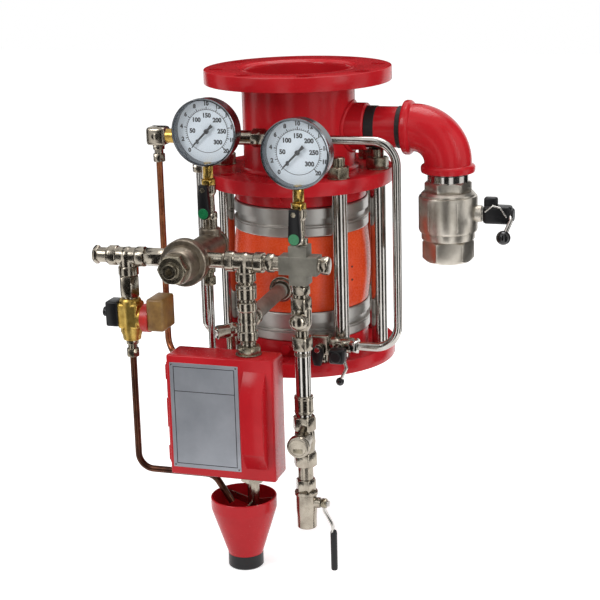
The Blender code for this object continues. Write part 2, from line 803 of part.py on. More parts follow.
def locking_handle(start, stem, size):
    """Moulded hub along +X from start, a steel arm at its far end and a round knob."""
    length = 0.0420 * size
    hub = block((length, 0.0230 * size, 0.0270 * size), start + right * (length / 2), edge=0.004 * size)
    ear = block((0.0200 * size, 0.0130 * size, 0.0160 * size),
                start + Vector((0.0110 * size, 0, 0.0170 * size)), edge=0.0025 * size)
    arm_top = start + Vector((length - 0.003 * size, 0, 0.002 * size))
    knob_at = start + Vector((0.0350 * size, -0.0300 * size, -0.0280 * size))
    arm_middle = arm_top + Vector((0.004 * size, -0.016 * size, -0.008 * size))
    arm = swept([arm_top - right * 0.006 * size, arm_top, arm_middle, knob_at], 0.0040 * size, 2)
    knob = ball(0.0105 * size, knob_at, fine_sides)
    hole = cylinder(stem + gap, 0.0080 * size, fine_sides, start - right * 0.0020, right)
    return combined(hub, [ear, arm, knob], [hole])


# Front trim: fittings

def fitting(centre, sockets, ways=(), joined=()):
    """A banded malleable fitting: sockets are its open arms, and ways are the (axis, length) of the
    bores that run on through the pipes and hexagons joined to its other arms."""
    outer = []
    for index, axis in enumerate((*sockets, *(axis for axis, length in ways))):
        back = -0.0030 - 0.0007 * index
        profile = [(0, back), (tee_radius, back), (tee_radius, tee_arm - tee_band),
                   (tee_band_radius, tee_arm - tee_band), (tee_band_radius, tee_arm), (0, tee_arm)]
        outer.append(turned(profile, centre, axis, fine_sides, 7 * index))
    cuts = bored([(centre, axis, tee_arm) for axis in sockets], small_thread,
                 small_pipe_radius + thread_gap, small_pipe_bore)
    for index, (axis, length) in enumerate(ways):
        back = 0.0020 + 0.0007 * index
        cuts.append(cylinder(small_pipe_way - 0.0001 * index, length + back + 0.0020, tiny_sides,
                             centre - axis * back, axis, 7 * index))
    return combined(outer[0], [*outer[1:], *joined], cuts)


def small_pipe(start, axis, length):
    """A solid length of the small pipe; what it is joined to bores it."""
    return cylinder(small_pipe_radius, length, fine_sides, start, axis)


def run_line():
    """The three fittings of the front run with the pipe lengths screwed into them."""
    run = lambda x: Vector((x, trim_y, run_z))
    root = tee_arm - 0.0040
    off = tee_arm + 0.0005
    tee = run(left_tee_x)
    open_end = tee_arm + open_nipple
    relay_left = relay_x - relay_arm + seated - left_tee_x
    solenoid_end = run_z - solenoid_top + seated
    joined = [combined(small_pipe(tee + left * root, left, open_end - root),
                       [hexagon(run_flats, 0.0070, tee + left * (open_end - 0.0074), left, 10)]),
              small_pipe(tee + right * root, right, relay_left - root),
              hexagon(run_flats, relay_left - seated - gap - off, tee + right * off, right, 30),
              small_pipe(tee + down * root, down, solenoid_end - root),
              hexagon(solenoid_flats, solenoid_end - seated - gap - off, tee + down * off, down)]
    node("left_tee", "nickel", fitting(tee, [], [(left, open_end), (right, relay_left),
                                                 (down, solenoid_end)], joined))
    tee = run(stack_x)
    relay_right = stack_x - relay_x - relay_arm + seated
    cross_left = cross_x - cross_arm + seated - stack_x
    stack_end = tee_arm + stack_drop + seated
    joined = [small_pipe(tee + left * root, left, relay_right - root),
              small_pipe(tee + right * root, right, cross_left - root),
              hexagon(run_flats, 0.0110, tee + right * (tee_arm + 0.0040), right),
              small_pipe(tee + down * root, down, stack_end - root),
              cylinder(tee_band_radius, stack_drop - 2 * stack_neck, fine_sides,
                       tee + down * (tee_arm + stack_neck), down)]
    node("mid_tee", "nickel", fitting(tee, [], [(left, relay_right), (right, cross_left),
                                                (down, stack_end)], joined))
    cross_block()


def cross_block():
    """Cross milled from square bar, with a hexagon plug in its right arm."""
    centre = Vector((cross_x, trim_y, run_z))
    wide = block((2 * cross_arm, cross_width, cross_width), centre, edge=0.0006)
    tall = block((cross_width, cross_width, 2 * cross_arm), centre, edge=0.0006)
    arms = [(centre, axis, cross_arm) for axis in (left, up, down)]
    cuts = bored(arms, small_thread, small_pipe_radius + thread_gap, small_pipe_bore)
    shank = small_pipe(centre + right * (cross_arm - 0.0010), right, 0.0050)
    plug = hexagon(plug_flats, plug_height - 0.0030, centre + right * (cross_arm + 0.0030), right)
    node("cross", "stainless", combined(wide, [tall, shank, plug], cuts))


def relay():
    centre = Vector((relay_x, trim_y, run_z))
    rear = relay_rear_radius
    arm_reach = relay_arm
    tail = turned([(0, -relay_rear), (rear - 0.002, -relay_rear), (rear, -relay_rear + 0.002),
                   (rear, relay_flange_at(0) - 0.0050), (relay_flange_radius, relay_flange_at(0) - 0.0030),
                   (relay_flange_radius, relay_flange_at(0)), (0, relay_flange_at(0))],
                  centre, front, middle_sides)
    cross_boss = cylinder(0.0150, 2 * arm_reach, fine_sides, centre - right * arm_reach, right)
    left_valve = Vector((relay_x, left_gauge_y, run_z))
    top_boss = cylinder(0.0150, arm_reach, fine_sides, left_valve, up)
    drop = Vector((relay_x + relay_drop_side, trim_y + relay_drop_back, run_z))
    foot_boss = cylinder(0.0120, arm_reach, fine_sides, drop, down)
    cuts = bored([(centre, left, arm_reach), (centre, right, arm_reach), (left_valve, up, arm_reach)],
                 small_thread, small_pipe_radius + thread_gap, 0.0050)
    tube = copper_run([drop + down * (arm_reach + 0.0180), Vector((drop.x, drop.y, relay_tube_z)),
                       Vector((drop.x, box_back + gap - 0.0160, relay_tube_z))], 0.0180)
    chamber = cylinder(relay_piston_radius + running_gap, 0.0520, small_sides,
                       centre + front * (relay_flange_at(0) - 0.050),
                       front)
    foot_nut = tube_nut(drop + down * (arm_reach - 0.0010), down, copper_nut_flats)
    node("relay_body", "zinc steel", combined(tail, [cross_boss, top_boss, foot_boss, *foot_nut, tube],
                                              [*cuts, chamber]))
    relay_front(centre)


def relay_flange_at(side):
    """Distance in front of the run of the joint between relay body and bonnet."""
    return -relay_flange_front + side * gap


def relay_screws(centre):
    """Heads of the four socket screws that hold the bonnet."""
    face = centre + front * (relay_flange_at(1) + relay_flange - 0.0010)
    return [cylinder(relay_bolt_radius, 0.0080, tiny_sides,
                     face + Vector((relay_bolt_circle * math.cos(math.radians(angle)), 0,
                                    relay_bolt_circle * math.sin(math.radians(angle)))), front)
            for angle in (45, 135, 225, 315)]


def relay_front(centre):
    start = relay_flange_at(1)
    rim = start + relay_flange
    tip = -relay_bonnet_front
    bonnet = turned([(0, start), (relay_flange_radius, start), (relay_flange_radius, rim),
                     (relay_bonnet_radius - 0.003, rim), (relay_bonnet_radius - 0.007, tip - 0.004),
                     (relay_bonnet_radius - 0.009, tip), (0, tip)], centre, front, middle_sides)
    spring_room = cylinder(relay_piston_radius + running_gap, relay_travel + 0.0150, small_sides,
                           centre + front * (start - 0.001), front)
    cap_front = -relay_cap_front
    cap = hexagon(relay_cap_flats, cap_front - tip + 0.0010, centre + front * (tip - 0.0010), front)
    port = cylinder(relay_port_radius, -relay_port_front - cap_front + 0.002, fine_sides,
                    centre + front * (cap_front - 0.002), front)
    way = cylinder(0.0050, -relay_port_front, fine_sides, centre + front * (start + 0.0050), front)
    node("relay_bonnet", "zinc steel", combined(bonnet, [cap, port, *relay_screws(centre)],
                                                [spring_room, way]))
    piston_back = relay_flange_at(0) - 0.0495
    piston = turned([(0, 0), (relay_piston_radius - 0.003, 0), (relay_piston_radius, 0.003),
                     (relay_piston_radius, 0.0560 - relay_travel), (0, 0.0560 - relay_travel)],
                    centre + front * piston_back, front, fine_sides)
    node("relay_piston", "stainless", piston, centre)


# Front trim: stack, column under the cross, gauges

def port_and_stack():
    """The control chamber's port, its nipple to the stack tee, and the stack down to the box."""
    out = Vector((math.cos(port_angle), math.sin(port_angle), 0))
    level = Vector((0, 0, port_z))
    boss_start = collar_radius + 0.0005 + housing_bulge + 0.0010
    boss = turned([(0, boss_start), (port_boss_radius, boss_start),
                   (port_boss_radius, boss_start + port_boss_height - 0.004),
                   (port_boss_radius - 0.002, boss_start + port_boss_height - 0.004),
                   (port_boss_radius - 0.003, boss_start + port_boss_height),
                   (0, boss_start + port_boss_height)], level, out, middle_sides)
    spigot = cylinder(small_pipe_radius, boss_start - housing_bore + 0.002, fine_sides,
                      level + out * (housing_bore - 0.001), out)
    end = math.hypot(stack_x, trim_y) - tee_arm + seated
    pipe = small_pipe(level + out * (boss_start + 0.0020), out, end - boss_start - 0.0020)
    way = cylinder(small_pipe_bore, end, fine_sides, level + out * (housing_bore - 0.0100), out)
    node("port_nipple", "nickel", combined(boss, [spigot, pipe], [way]))

    centre = Vector((stack_x, trim_y, port_z))
    root = tee_arm - 0.0040
    foot_end = port_z - box_top + box_entry
    joined = [small_pipe(centre + down * root, down, foot_end - root),
              hexagon(box_nut_flats, box_nut_height, centre + down * (foot_end - box_entry - gap
                                                                      - box_nut_height), down)]
    node("stack_tee", "nickel", fitting(centre, [up, -out], [(down, foot_end)], joined))


def column():
    """Everything that hangs from the cross, down to the test valve's outlet."""
    at = lambda z: Vector((cross_x, trim_y, z))
    check_top = cross_bottom - check_neck
    neck = small_pipe(at(check_top - 0.0040), up, cross_bottom + seated - check_top + 0.0040)
    neck_hex = hexagon(run_flats, 0.0120, at(check_top + 0.0040))
    low = check_low
    hex_top = hexagon(check_flats, check_end, at(check_top - check_end))
    hex_low = hexagon(check_flats, 0.0190, at(low))
    waist = turned([(0, low + 0.010), (0.0095, low + 0.010), (0.0095, low + 0.028), (0.0138, low + 0.036),
                    (0.0138, check_top - 0.012), (0, check_top - 0.012)], at(0), up, fine_sides)
    dome_z = check_top - check_end - 0.0130
    dome_root = cylinder(0.0115, 0.0190, fine_sides, at(dome_z), front)
    dome = ball(0.0125, at(dome_z) + front * 0.0150, tiny_sides)
    room = turned([(0, low + 0.012), (0.0050, low + 0.012), (0.0050, dome_z - 0.0100),
                   (check_ball_radius + running_gap, dome_z - 0.0060),
                   (check_ball_radius + running_gap, dome_z + check_ball_radius + check_lift + 0.002),
                   (0.0050, dome_z + check_ball_radius + check_lift + 0.004), (0.0050, cross_bottom + 0.0200),
                   (0, cross_bottom + 0.0200)], at(0), up, fine_sides)
    ends = [cylinder(small_pipe_radius + thread_gap, small_thread + 0.001, small_sides, at(low - 0.001)),
            cylinder(0.0046, 0.0100, fine_sides, at(low + small_thread - 0.0020))]
    node("check_valve", "nickel", combined(waist, [hex_top, hex_low, dome_root, dome, neck, neck_hex],
                                             [room, *ends]))
    rest = at(dome_z - 0.0025)
    node("check_ball", "stainless", ball(check_ball_radius, rest), rest)

    strainer_top = lower_pipe_bottom - strainer_joint
    pipe_low = strainer_top - seated
    pipe_high = low + seated
    pipe = small_pipe(at(pipe_low), up, pipe_high - pipe_low)
    coupling = cylinder(tee_band_radius - 0.0010, 0.0260, fine_sides, at(lower_pipe_bottom))
    way = cylinder(small_pipe_bore, pipe_high - pipe_low + 0.0020, fine_sides, at(pipe_low - 0.0010))
    node("lower_pipe", "nickel", combined(pipe, [coupling], [way]))
    strainer(at, strainer_top)
    test_valve(at)


def strainer(at, top):
    """Strainer: hex ends, a barrel and a screen pocket to the front, closed by a round cap."""
    low = strainer_bottom - strainer_foot
    hex_top = hexagon(0.0290, 0.0200, at(top - 0.0200))
    hex_low = hexagon(0.0290, 0.0210, at(low))
    barrel = cylinder(0.0125, top - low - 0.010, fine_sides, at(low + 0.005))
    slant = Vector((0.05, -1.00, -0.06)).normalized()
    root = at((top - 0.0200 + strainer_bottom) / 2 + 0.004)
    pocket = cylinder(0.0130, strainer_pocket, fine_sides, root, slant)
    cap_face = root + slant * (strainer_pocket + gap)
    cap = turned([(0, 0), (strainer_cap_radius, 0), (strainer_cap_radius, 0.0080),
                  (strainer_cap_radius - 0.002, 0.0100), (0, 0.0100)], cap_face, slant, middle_sides)
    spigot = cylinder(0.0090, 0.0080, fine_sides, cap_face - slant * 0.0070, slant)
    pocket_hole = cylinder(0.0090 + thread_gap, strainer_pocket, small_sides, root + slant * 0.0100, slant)
    end = test_valve_top - seated
    neck = small_pipe(at(end), up, low + 0.0040 - end)
    way = cylinder(0.0060, top - end + 0.002, fine_sides, at(end - 0.001))
    seat = cylinder(small_pipe_radius + thread_gap, small_thread + 0.001, small_sides, at(top - small_thread))
    node("strainer_body", "nickel", combined(barrel, [hex_top, hex_low, pocket, neck],
                                             [pocket_hole, way, seat]))
    node("strainer_cap", "nickel", combined(cap, [spigot]))


def test_valve(at):
    top = test_valve_top
    middle = top - 0.0350
    bottom = test_valve_bottom
    hex_top = hexagon(0.0250, 0.0190, at(top - 0.0190))
    shell = turned([(0, 0), (test_valve_radius, 0), (test_valve_radius + 0.001, middle - 0.012 - bottom),
                    (test_valve_radius + 0.001, middle + 0.012 - bottom),
                    (test_valve_radius + 0.003, middle + 0.012 - bottom),
                    (test_valve_radius + 0.003, middle + 0.017 - bottom), (0, middle + 0.017 - bottom)],
                   at(bottom), up, middle_sides)
    boss = cylinder(0.0075, 0.0210, fine_sides, at(middle), right)
    inside = 0.0100
    cavity = turned([(0, -0.001), (small_pipe_radius, -0.001), (small_pipe_radius, 0.014),
                     (inside - 0.003, 0.014),
                     (inside - 0.003, middle - inside - bottom),
                     (inside + running_gap, middle - inside - bottom),
                     (inside + running_gap, middle + inside - bottom),
                     (inside - 0.003, middle + inside - bottom),
                     (inside - 0.003, top - small_thread - bottom),
                     (small_pipe_radius + thread_gap, top - small_thread - bottom),
                     (small_pipe_radius + thread_gap, top + 0.001 - bottom), (0, top + 0.001 - bottom)],
                    at(bottom), up, fine_sides)
    stem_hole = cylinder(0.0040 + running_gap, 0.0300, fine_sides, at(middle), right)
    node("test_valve_body", "nickel", combined(shell, [hex_top, boss], [cavity, stem_hole]))
    pivot = at(middle)
    sphere = ball(inside, pivot)
    stem = cylinder(0.0040, 0.0330, fine_sides, pivot, right)
    bore = cylinder(0.0065, 0.0300, fine_sides, pivot + down * 0.0150)
    node("test_valve_ball", "stainless", combined(sphere, [stem], [bore]), pivot)
    start = pivot + right * 0.0225
    hub = hexagon(0.0130, 0.0080, start, right)
    drop = test_lever_drop
    strip = swept([start + Vector((0.003, 0, 0.002)), start + Vector((0.003, 0, -0.010)),
                   start + Vector((0.013, 0, -0.028)), start + Vector((0.015, 0, -0.034)),
                   start + Vector((0.016, 0, -drop + 0.008))], 0.0032, 2)
    grip = turned([(0, 0), (0.0035, 0), (0.0048, 0.003), (0.0048, 0.058), (0.0036, 0.060), (0, 0.060)],
                  start + Vector((0.0160, 0, -drop)), up, tiny_sides)
    hole = cylinder(0.0040 + gap, 0.0340, fine_sides, pivot, right)
    lever = combined(hub, [strip, grip], [hole])
    node("test_valve_lever", "stainless", lever, pivot)


# Gauges and their valves

def gauge_places():
    """Centre line of each gauge valve at its lever's pivot, and the level of its seat."""
    return {"left": (Vector((relay_x, left_gauge_y, left_valve_z)), run_z + relay_arm),
            "right": (Vector((cross_x, trim_y, right_valve_z)), cross_top)}


def gauges():
    for side, (pivot, seat_level) in gauge_places().items():
        centre = pivot + up * gauge_rise
        node(side + "_gauge_valve", "nickel", gauge_valve_body(pivot, seat_level))
        gauge_lever(side, pivot)
        node(side + "_gauge_case", "stainless", gauge_case(pivot, centre))
        needle(side, centre)


def gauge_case(pivot, centre):
    """Case, dial floor and the square stem that screws into the gauge valve."""
    back = gauge_front - gauge_depth
    inner = gauge_radius - gauge_wall
    rim = gauge_radius - 0.0015
    lip = gauge_front - gauge_lip
    profile = [(0, back), (rim, back), (rim, gauge_front - 0.0075), (gauge_radius, gauge_front - 0.0075),
               (gauge_radius, gauge_front), (gauge_radius - gauge_bezel, gauge_front),
               (gauge_radius - gauge_bezel, lip), (inner, lip), (inner, gauge_floor), (0, gauge_floor)]
    shell = turned(profile, centre, front, wide_sides)
    arbor = cylinder(needle_arbor + running_gap, 0.0065, tiny_sides, centre + front * (gauge_floor - 0.0060),
                     front)
    low = pivot.z + gauge_valve_top + gap
    high = centre.z - gauge_radius
    at = lambda z: Vector((pivot.x, pivot.y, z))
    bar = hexagon(gauge_stem_flats, high - low + 0.0008, at(low))
    spigot = cylinder(gauge_spigot_radius, 0.0080, fine_sides, at(low - 0.0070))
    neck = cylinder(0.0050, 0.0090, fine_sides, at(high - 0.0010))
    return combined(shell, [bar, spigot, neck], [arbor])


def needle(side, centre):
    """Pointer, hub and arbor; it stands at zero, lower left on the dial."""
    wide, narrow, tip = needle_width, needle_width * 0.4, needle_length
    outline = [(-needle_tail, -wide), (0, -wide * 0.7), (tip * 0.9, -narrow), (tip, 0), (tip * 0.9, narrow),
               (0, wide * 0.7), (-needle_tail, wide)]
    turn = math.radians(needle_start)
    outline = [(x * math.cos(turn) - y * math.sin(turn), x * math.sin(turn) + y * math.cos(turn))
               for x, y in outline]
    level = gauge_floor + needle_level
    flat = plate(outline, 0.0008, centre + front * level, front)
    hub = cylinder(0.0035, 0.0022, fine_sides, centre + front * (level - 0.0010), front)
    arbor = cylinder(needle_arbor, level - gauge_floor + 0.0050, tiny_sides,
                     centre + front * (gauge_floor - 0.0050),
                     front)
    node(side + "_gauge_needle", "black plastic", combined(flat, [hub, arbor]), centre)


def gauge_valve_body(pivot, seat_level):
    top = pivot.z + gauge_valve_top
    low = pivot.z - gauge_valve_drop + gap
    at = lambda z: Vector((pivot.x, pivot.y, z))
    barrel = turned([(0, low), (gauge_valve_radius, low), (gauge_valve_radius, pivot.z - 0.010),
                     (gauge_valve_radius + 0.003, pivot.z - 0.006),
                     (gauge_valve_radius + 0.003, pivot.z + 0.004),
                     (0, pivot.z + 0.004)], Vector((pivot.x, pivot.y, 0)), up, fine_sides)
    collar = hexagon(0.0190, 0.0090, at(top - 0.0090))
    foot = hexagon(0.0210, 0.0100, at(low))
    spigot = cylinder(small_pipe_radius, low - seat_level + seated + 0.001, fine_sides,
                      at(seat_level - seated))
    boss = cylinder(0.0062, 0.0145, fine_sides, pivot, front)
    stem_seat = cylinder(0.0030 + running_gap, 0.0160, tiny_sides, pivot, front)
    top_hole = cylinder(gauge_spigot_radius + thread_gap, 0.0090, fine_sides, at(top - 0.0080))
    return combined(barrel, [collar, foot, spigot, boss], [stem_seat, top_hole])


def gauge_lever(side, pivot):
    """Lever of the small ball valve, hanging down in line with the pipe when it is open."""
    near = 0.0150
    half = gauge_lever_width / 2
    outline = [(-half * 0.75, 0.0070), (half * 0.75, 0.0070)]
    end = -gauge_lever_length + half
    for step in range(7):
        angle = -math.pi * step / 6
        outline.append((half * math.cos(angle), end + half * math.sin(angle)))
    middle = pivot + front * (near + gauge_lever_thickness / 2)
    flat = plate([(x, y) for x, y in outline], gauge_lever_thickness, middle, front)
    disc = cylinder(half * 0.98, 0.0020, fine_sides,
                    pivot + front * (near + gauge_lever_thickness - 0.001) + up * end,
                    front)
    stem = cylinder(0.0030, near + 0.002 - 0.001, tiny_sides, pivot + front * 0.001, front)
    node(side + "_gauge_lever", "black plastic", combined(flat, [disc, stem]), pivot)


# Supply tubing and its fittings

def tube_nut(face, axis, flats):
    """Adapter collar, neck and nut that hold a tube end; the tube enters the far face."""
    return [hexagon(flats, 0.0080, face, axis),
            cylinder(flats * 0.40, tube_nut_reach - 0.0080, fine_sides, face + axis * 0.0040, axis),
            hexagon(flats, tube_nut_height, face + axis * (tube_nut_reach - tube_nut_height), axis)]


def tube_seat(face, axis, radius):
    """Cutter for the hole in a tube nut that the tube end sits in."""
    return cylinder(radius + gap, tube_entry + 0.0020 + gap, fine_sides, face + axis * (tube_start - gap),
                    axis)


def copper_run(corners, bend):
    return swept(rounded_route(corners, bend), copper_radius, 2)


def supply_line():
    """Elbow, tee, reducer and the rear tube as one screwed-up piece, then the long steel tube."""
    line = lambda x, z=supply_z: Vector((x, supply_y, z))
    tee = line(supply_tee_x)
    half = 0.0150
    elbow = line(supply_elbow_x)
    elbow_length = supply_tee_x - supply_elbow_x
    coupling_end = supply_coupling_x + supply_coupling
    root = tee_arm - 0.0040
    elbow_face = elbow + down * (half - 0.0025)
    reducer_face = line(coupling_end - 0.0010)
    foot_face = tee + down * (tee_arm - 0.0010)
    seat = on_circle(bolt_circle, rear_tube_angle)
    towards = Vector((seat.x - supply_tee_x, seat.y - supply_y, 0)).normalized()
    foot_level = supply_low_z + 0.0040
    foot = seat + up * foot_level
    rear_tube = swept(rounded_route([foot_face + down * tube_start, line(supply_tee_x, foot_level),
                                     foot - towards * 0.0100], 0.0220), tube_radius, 3)
    joined = [block((2 * half, 0.0260, 2 * half - 0.003), elbow, edge=0.0040, segments=2),
              small_pipe(tee + left * root, left, elbow_length - half + 0.0020 - root),
              small_pipe(tee + right * root, right, supply_coupling_x - supply_tee_x + 0.0020 - root),
              hexagon(0.0240, supply_coupling, line(supply_coupling_x), right),
              *tube_nut(reducer_face, right, tube_nut_flats),
              *tube_nut(elbow_face, down, copper_nut_flats),
              *tube_nut(foot_face, down, tube_nut_flats),
              rear_tube,
              cylinder(0.0105, 0.0260, fine_sides, foot, -towards),
              ball(0.0125, foot, fine_sides),
              cylinder(0.0110, foot_level - flange_thickness - gap, small_sides,
                       seat + up * (flange_thickness + gap)),
              cylinder(small_pipe_radius, 0.0160, fine_sides, seat + up * (flange_thickness - 0.0140))]
    ways = [(left, elbow_length), (right, coupling_end - supply_tee_x + 0.0020), (down, tee_arm)]
    manifold = fitting(tee, [], ways, joined)
    node("supply_manifold", "nickel",
         combined(manifold, [], [tube_seat(reducer_face, right, tube_radius),
                                 tube_seat(elbow_face, down, copper_radius)]))
    block_face = supply_block_x + 0.0145
    valve_face = block_face + 0.0300
    route = rounded_route([reducer_face + right * tube_start, line(supply_drop_x),
                           line(supply_drop_x, supply_low_z),
                           line(valve_face + tube_nut_height - tube_entry, supply_low_z)], tube_bend)
    node("supply_tube", "stainless", swept(route, tube_radius, 3))
    route = [elbow_face + down * tube_start, line(supply_elbow_x, left_tube_z),
             Vector((box_left + left_tube_inset, (supply_y + box_back) / 2, left_tube_z)),
             Vector((box_left + left_tube_inset, box_back + gap, left_tube_z))]
    node("left_copper_tube", "copper", copper_run(route, 0.0250))
    supply_valve(line, block_face, valve_face)


def supply_valve(line, block_face, valve_face):
    """Port block on the inlet flange, the small ball valve at its right and the bleed cock."""
    base = supply_seats()["block"]
    centre = line(supply_block_x, supply_low_z)
    body = block((0.0290, 0.0230, 0.0300), centre, edge=0.0035, segments=1)
    shank_low = flange_thickness - small_thread + gap
    shank = cylinder(small_pipe_radius, centre.z - shank_low, fine_sides, base + up * shank_low)
    barrel = cylinder(0.0115, valve_face - block_face, fine_sides, line(block_face, supply_low_z), right)
    ball_x = (block_face + valve_face) / 2
    neck = hexagon(0.0210, 0.0076, line(block_face, supply_low_z), right)
    stem_boss = cylinder(0.0070, 0.0170, fine_sides, line(ball_x, supply_low_z), front)
    nut = hexagon(tube_nut_flats, tube_nut_height + 0.0010, line(valve_face - 0.0010, supply_low_z), right)
    seat = cylinder(tube_radius + gap, tube_entry + 0.0020 + gap, fine_sides,
                    line(valve_face + tube_nut_height - tube_entry - gap, supply_low_z), right)
    stem_seat = cylinder(0.0035 + running_gap, 0.0300, tiny_sides, line(ball_x, supply_low_z) - front * 0.002,
                         front)
    bleed_z = supply_low_z - 0.0030
    bleed_boss = cylinder(0.0060, 0.0190, fine_sides, line(supply_block_x, bleed_z), front)
    bleed_seat = cylinder(0.0028 + running_gap, 0.0260, tiny_sides,
                          line(supply_block_x, bleed_z) + front * 0.004, front)
    node("supply_valve_body", "nickel", combined(body, [shank, barrel, neck, stem_boss, bleed_boss, nut],
                                                 [stem_seat, bleed_seat, seat]))

    pivot = line(ball_x, supply_low_z)
    start = pivot + front * 0.0190
    hub = block((0.0240, 0.0200, 0.0220), start + front * 0.0100 + Vector((0.003, 0, -0.008)), edge=0.0035)
    stem = cylinder(0.0035, 0.0260, tiny_sides, pivot - front * 0.001, front)
    knob_at = start + front * 0.0100 + Vector((0.0060, 0, -0.0470))
    arm = swept([start + front * 0.010 + Vector((0.012, 0, -0.012)),
                 start + front * 0.010 + Vector((0.016, 0, -0.026)), knob_at], 0.0030, 2)
    node("supply_valve_handle", "black plastic", combined(hub,
                                                          [stem, arm, ball(0.0063, knob_at, fine_sides)]),
         pivot)

    bleed = line(supply_block_x, bleed_z)
    bleed_start = bleed + front * 0.0195
    wing = [(-0.0080, 0.0030), (0.0080, 0.0030), (0.0095, -0.0070), (0.0050, -0.0240), (-0.0050, -0.0240),
            (-0.0095, -0.0070)]
    flat = plate(wing, 0.0060, bleed_start + front * 0.0030, front)
    spindle = cylinder(0.0028, 0.0170, tiny_sides, bleed + front * 0.0050, front)
    node("bleed_handle", "black plastic", combined(flat, [spindle]), bleed)


def solenoid():
    """Pilot valve under the left tee: body, coil to its right, connector to its left."""
    at = lambda z: Vector((left_tee_x, trim_y, z))
    middle = (solenoid_top + solenoid_bottom) / 2 + 0.0020
    core = block((0.0310, 0.0300, solenoid_height * 0.62), at(middle + 0.0040), edge=0.0030)
    low = solenoid_bottom
    column = turned([(0, low), (0.0125, low), (0.0155, low + 0.010), (0.0155, solenoid_top - 0.002),
                     (0.0135, solenoid_top), (0, solenoid_top)], at(0), up, fine_sides)
    barrel = cylinder(0.0150, 0.0190, fine_sides, at(middle), right)
    connector = block((0.0190, 0.0290, 0.0360), at(middle + 0.0060) - right * 0.0235, edge=0.0020)
    gland = cylinder(0.0070, 0.0100, tiny_sides, at(middle + 0.0060) - right * 0.0310, left)
    foot = at(low + 0.0010)
    tube_low = box_bottom - 0.0065
    tube = copper_run([foot + down * (tube_start + 0.0020), at(tube_low),
                       Vector((funnel_x - 0.0430, trim_y, tube_low)),
                       Vector((funnel_x - 0.0180, trim_y, funnel_top - 0.0120))], 0.0220)
    cuts = bored([(at(middle), up, solenoid_top - middle)], small_thread, small_pipe_radius + thread_gap,
                 0.0040)
    node("solenoid_body", "brass", combined(column, [core, barrel, connector, gland, tube,
                                                     *tube_nut(foot, down, copper_nut_flats)], cuts))
    face = left_tee_x + 0.0190 + gap
    ring = cylinder(0.0200, 0.0115, middle_sides, Vector((face, trim_y, middle)), right)
    coil = block((0.0250, 0.0440, 0.0460),
                 Vector((face + 0.0230, trim_y + 0.0060, middle + 0.0080)), edge=0.0020)
    node("solenoid_coil", "brown plastic", combined(ring, [coil]))


# Release box, its valve, and the drip funnel

def release_box():
    width = box_right - box_left
    height = box_top - box_bottom
    middle_x = (box_left + box_right) / 2
    middle_z = (box_top + box_bottom) / 2
    front_y = trim_y + box_front
    back_y = box_back
    joint_y = front_y + door_depth
    at = lambda y: Vector((middle_x, y, middle_z))
    shell_depth = back_y - joint_y
    shell = block((width, shell_depth, height), at((back_y + joint_y) / 2), edge=box_corner, segments=2)
    flat_front = block((width, 0.008, height), at(joint_y + 0.004), edge=0.0)
    room = block((width - 2 * box_wall, shell_depth, height - 2 * box_wall),
                 at((back_y + joint_y) / 2 - box_wall))
    stack = Vector((stack_x, trim_y, 0))
    top_hole = cylinder(small_pipe_radius + gap, 0.010, small_sides, stack + up * (box_top - 0.006))
    drip_hole = cylinder(drip_pipe_radius + gap, 0.010, small_sides, stack + up * (box_bottom - 0.004))
    tube_hole = cylinder(copper_radius + running_gap, 0.0100, fine_sides,
                         (relay_x + relay_drop_side, back_y - 0.0060, relay_tube_z), -front)
    pin_x = box_left - hinge_pin_offset
    knuckle = hinge_pin_radius + 0.0014
    pin = Vector((pin_x, joint_y, 0))
    share = height / 5
    low = box_bottom + share * 0.5
    knuckles = [cylinder(knuckle, share * 0.6, fine_sides, pin + up * low),
                cylinder(knuckle, share * 0.6, fine_sides, pin + up * (low + share * 3.4))]
    free = knuckle + running_gap
    door_low = low + share * 1.4
    pin_bar = cylinder(hinge_pin_radius, share * 4.2, fine_sides, pin + up * (low - share * 0.1))
    relief = cylinder(free, share * 1.2 + 2 * running_gap, fine_sides, pin + up * (door_low - running_gap))
    shell = combined(shell, [flat_front], [room, top_hole, drip_hole, tube_hole, relief])
    node("box_shell", "red paint", combined(shell, [*knuckles, pin_bar]))

    door_back = joint_y - gap
    door_thick = door_back - front_y
    panel = block((width, door_thick, height), at((door_back + front_y) / 2), edge=0.0015)
    tray = block((width - 2 * box_wall, door_thick, height - 2 * box_wall),
                 at((door_back + front_y) / 2 + box_wall))
    high, low_end = box_top - bulge_top, box_bottom + bulge_bottom
    bulge_side = [(0.0, high), (-door_bulge, high - bulge_slope), (-door_bulge, low_end + bulge_slope * 0.9),
                  (0.0, low_end),
                  (gap * 5, low_end), (gap * 5, high)]
    bulge = plate([(-z, y) for y, z in bulge_side], bulge_width, (box_right - bulge_inset, front_y, 0), right,
                  0)
    door_knuckle = cylinder(knuckle, share * 1.2, fine_sides, pin + up * door_low)
    pin_way = cylinder(hinge_pin_radius + gap, height + 0.0100, fine_sides, pin + up * (box_bottom - 0.0050))
    reliefs = [cylinder(free, share * 0.6 + 2 * running_gap, fine_sides, pin + up * (level - running_gap))
               for level in (low, low + share * 3.4)]
    node("box_door", "red paint", combined(combined(panel, [bulge], [tray, *reliefs]), [door_knuckle],
                                           [pin_way]), pin + up * middle_z)
    release_valve(stack)


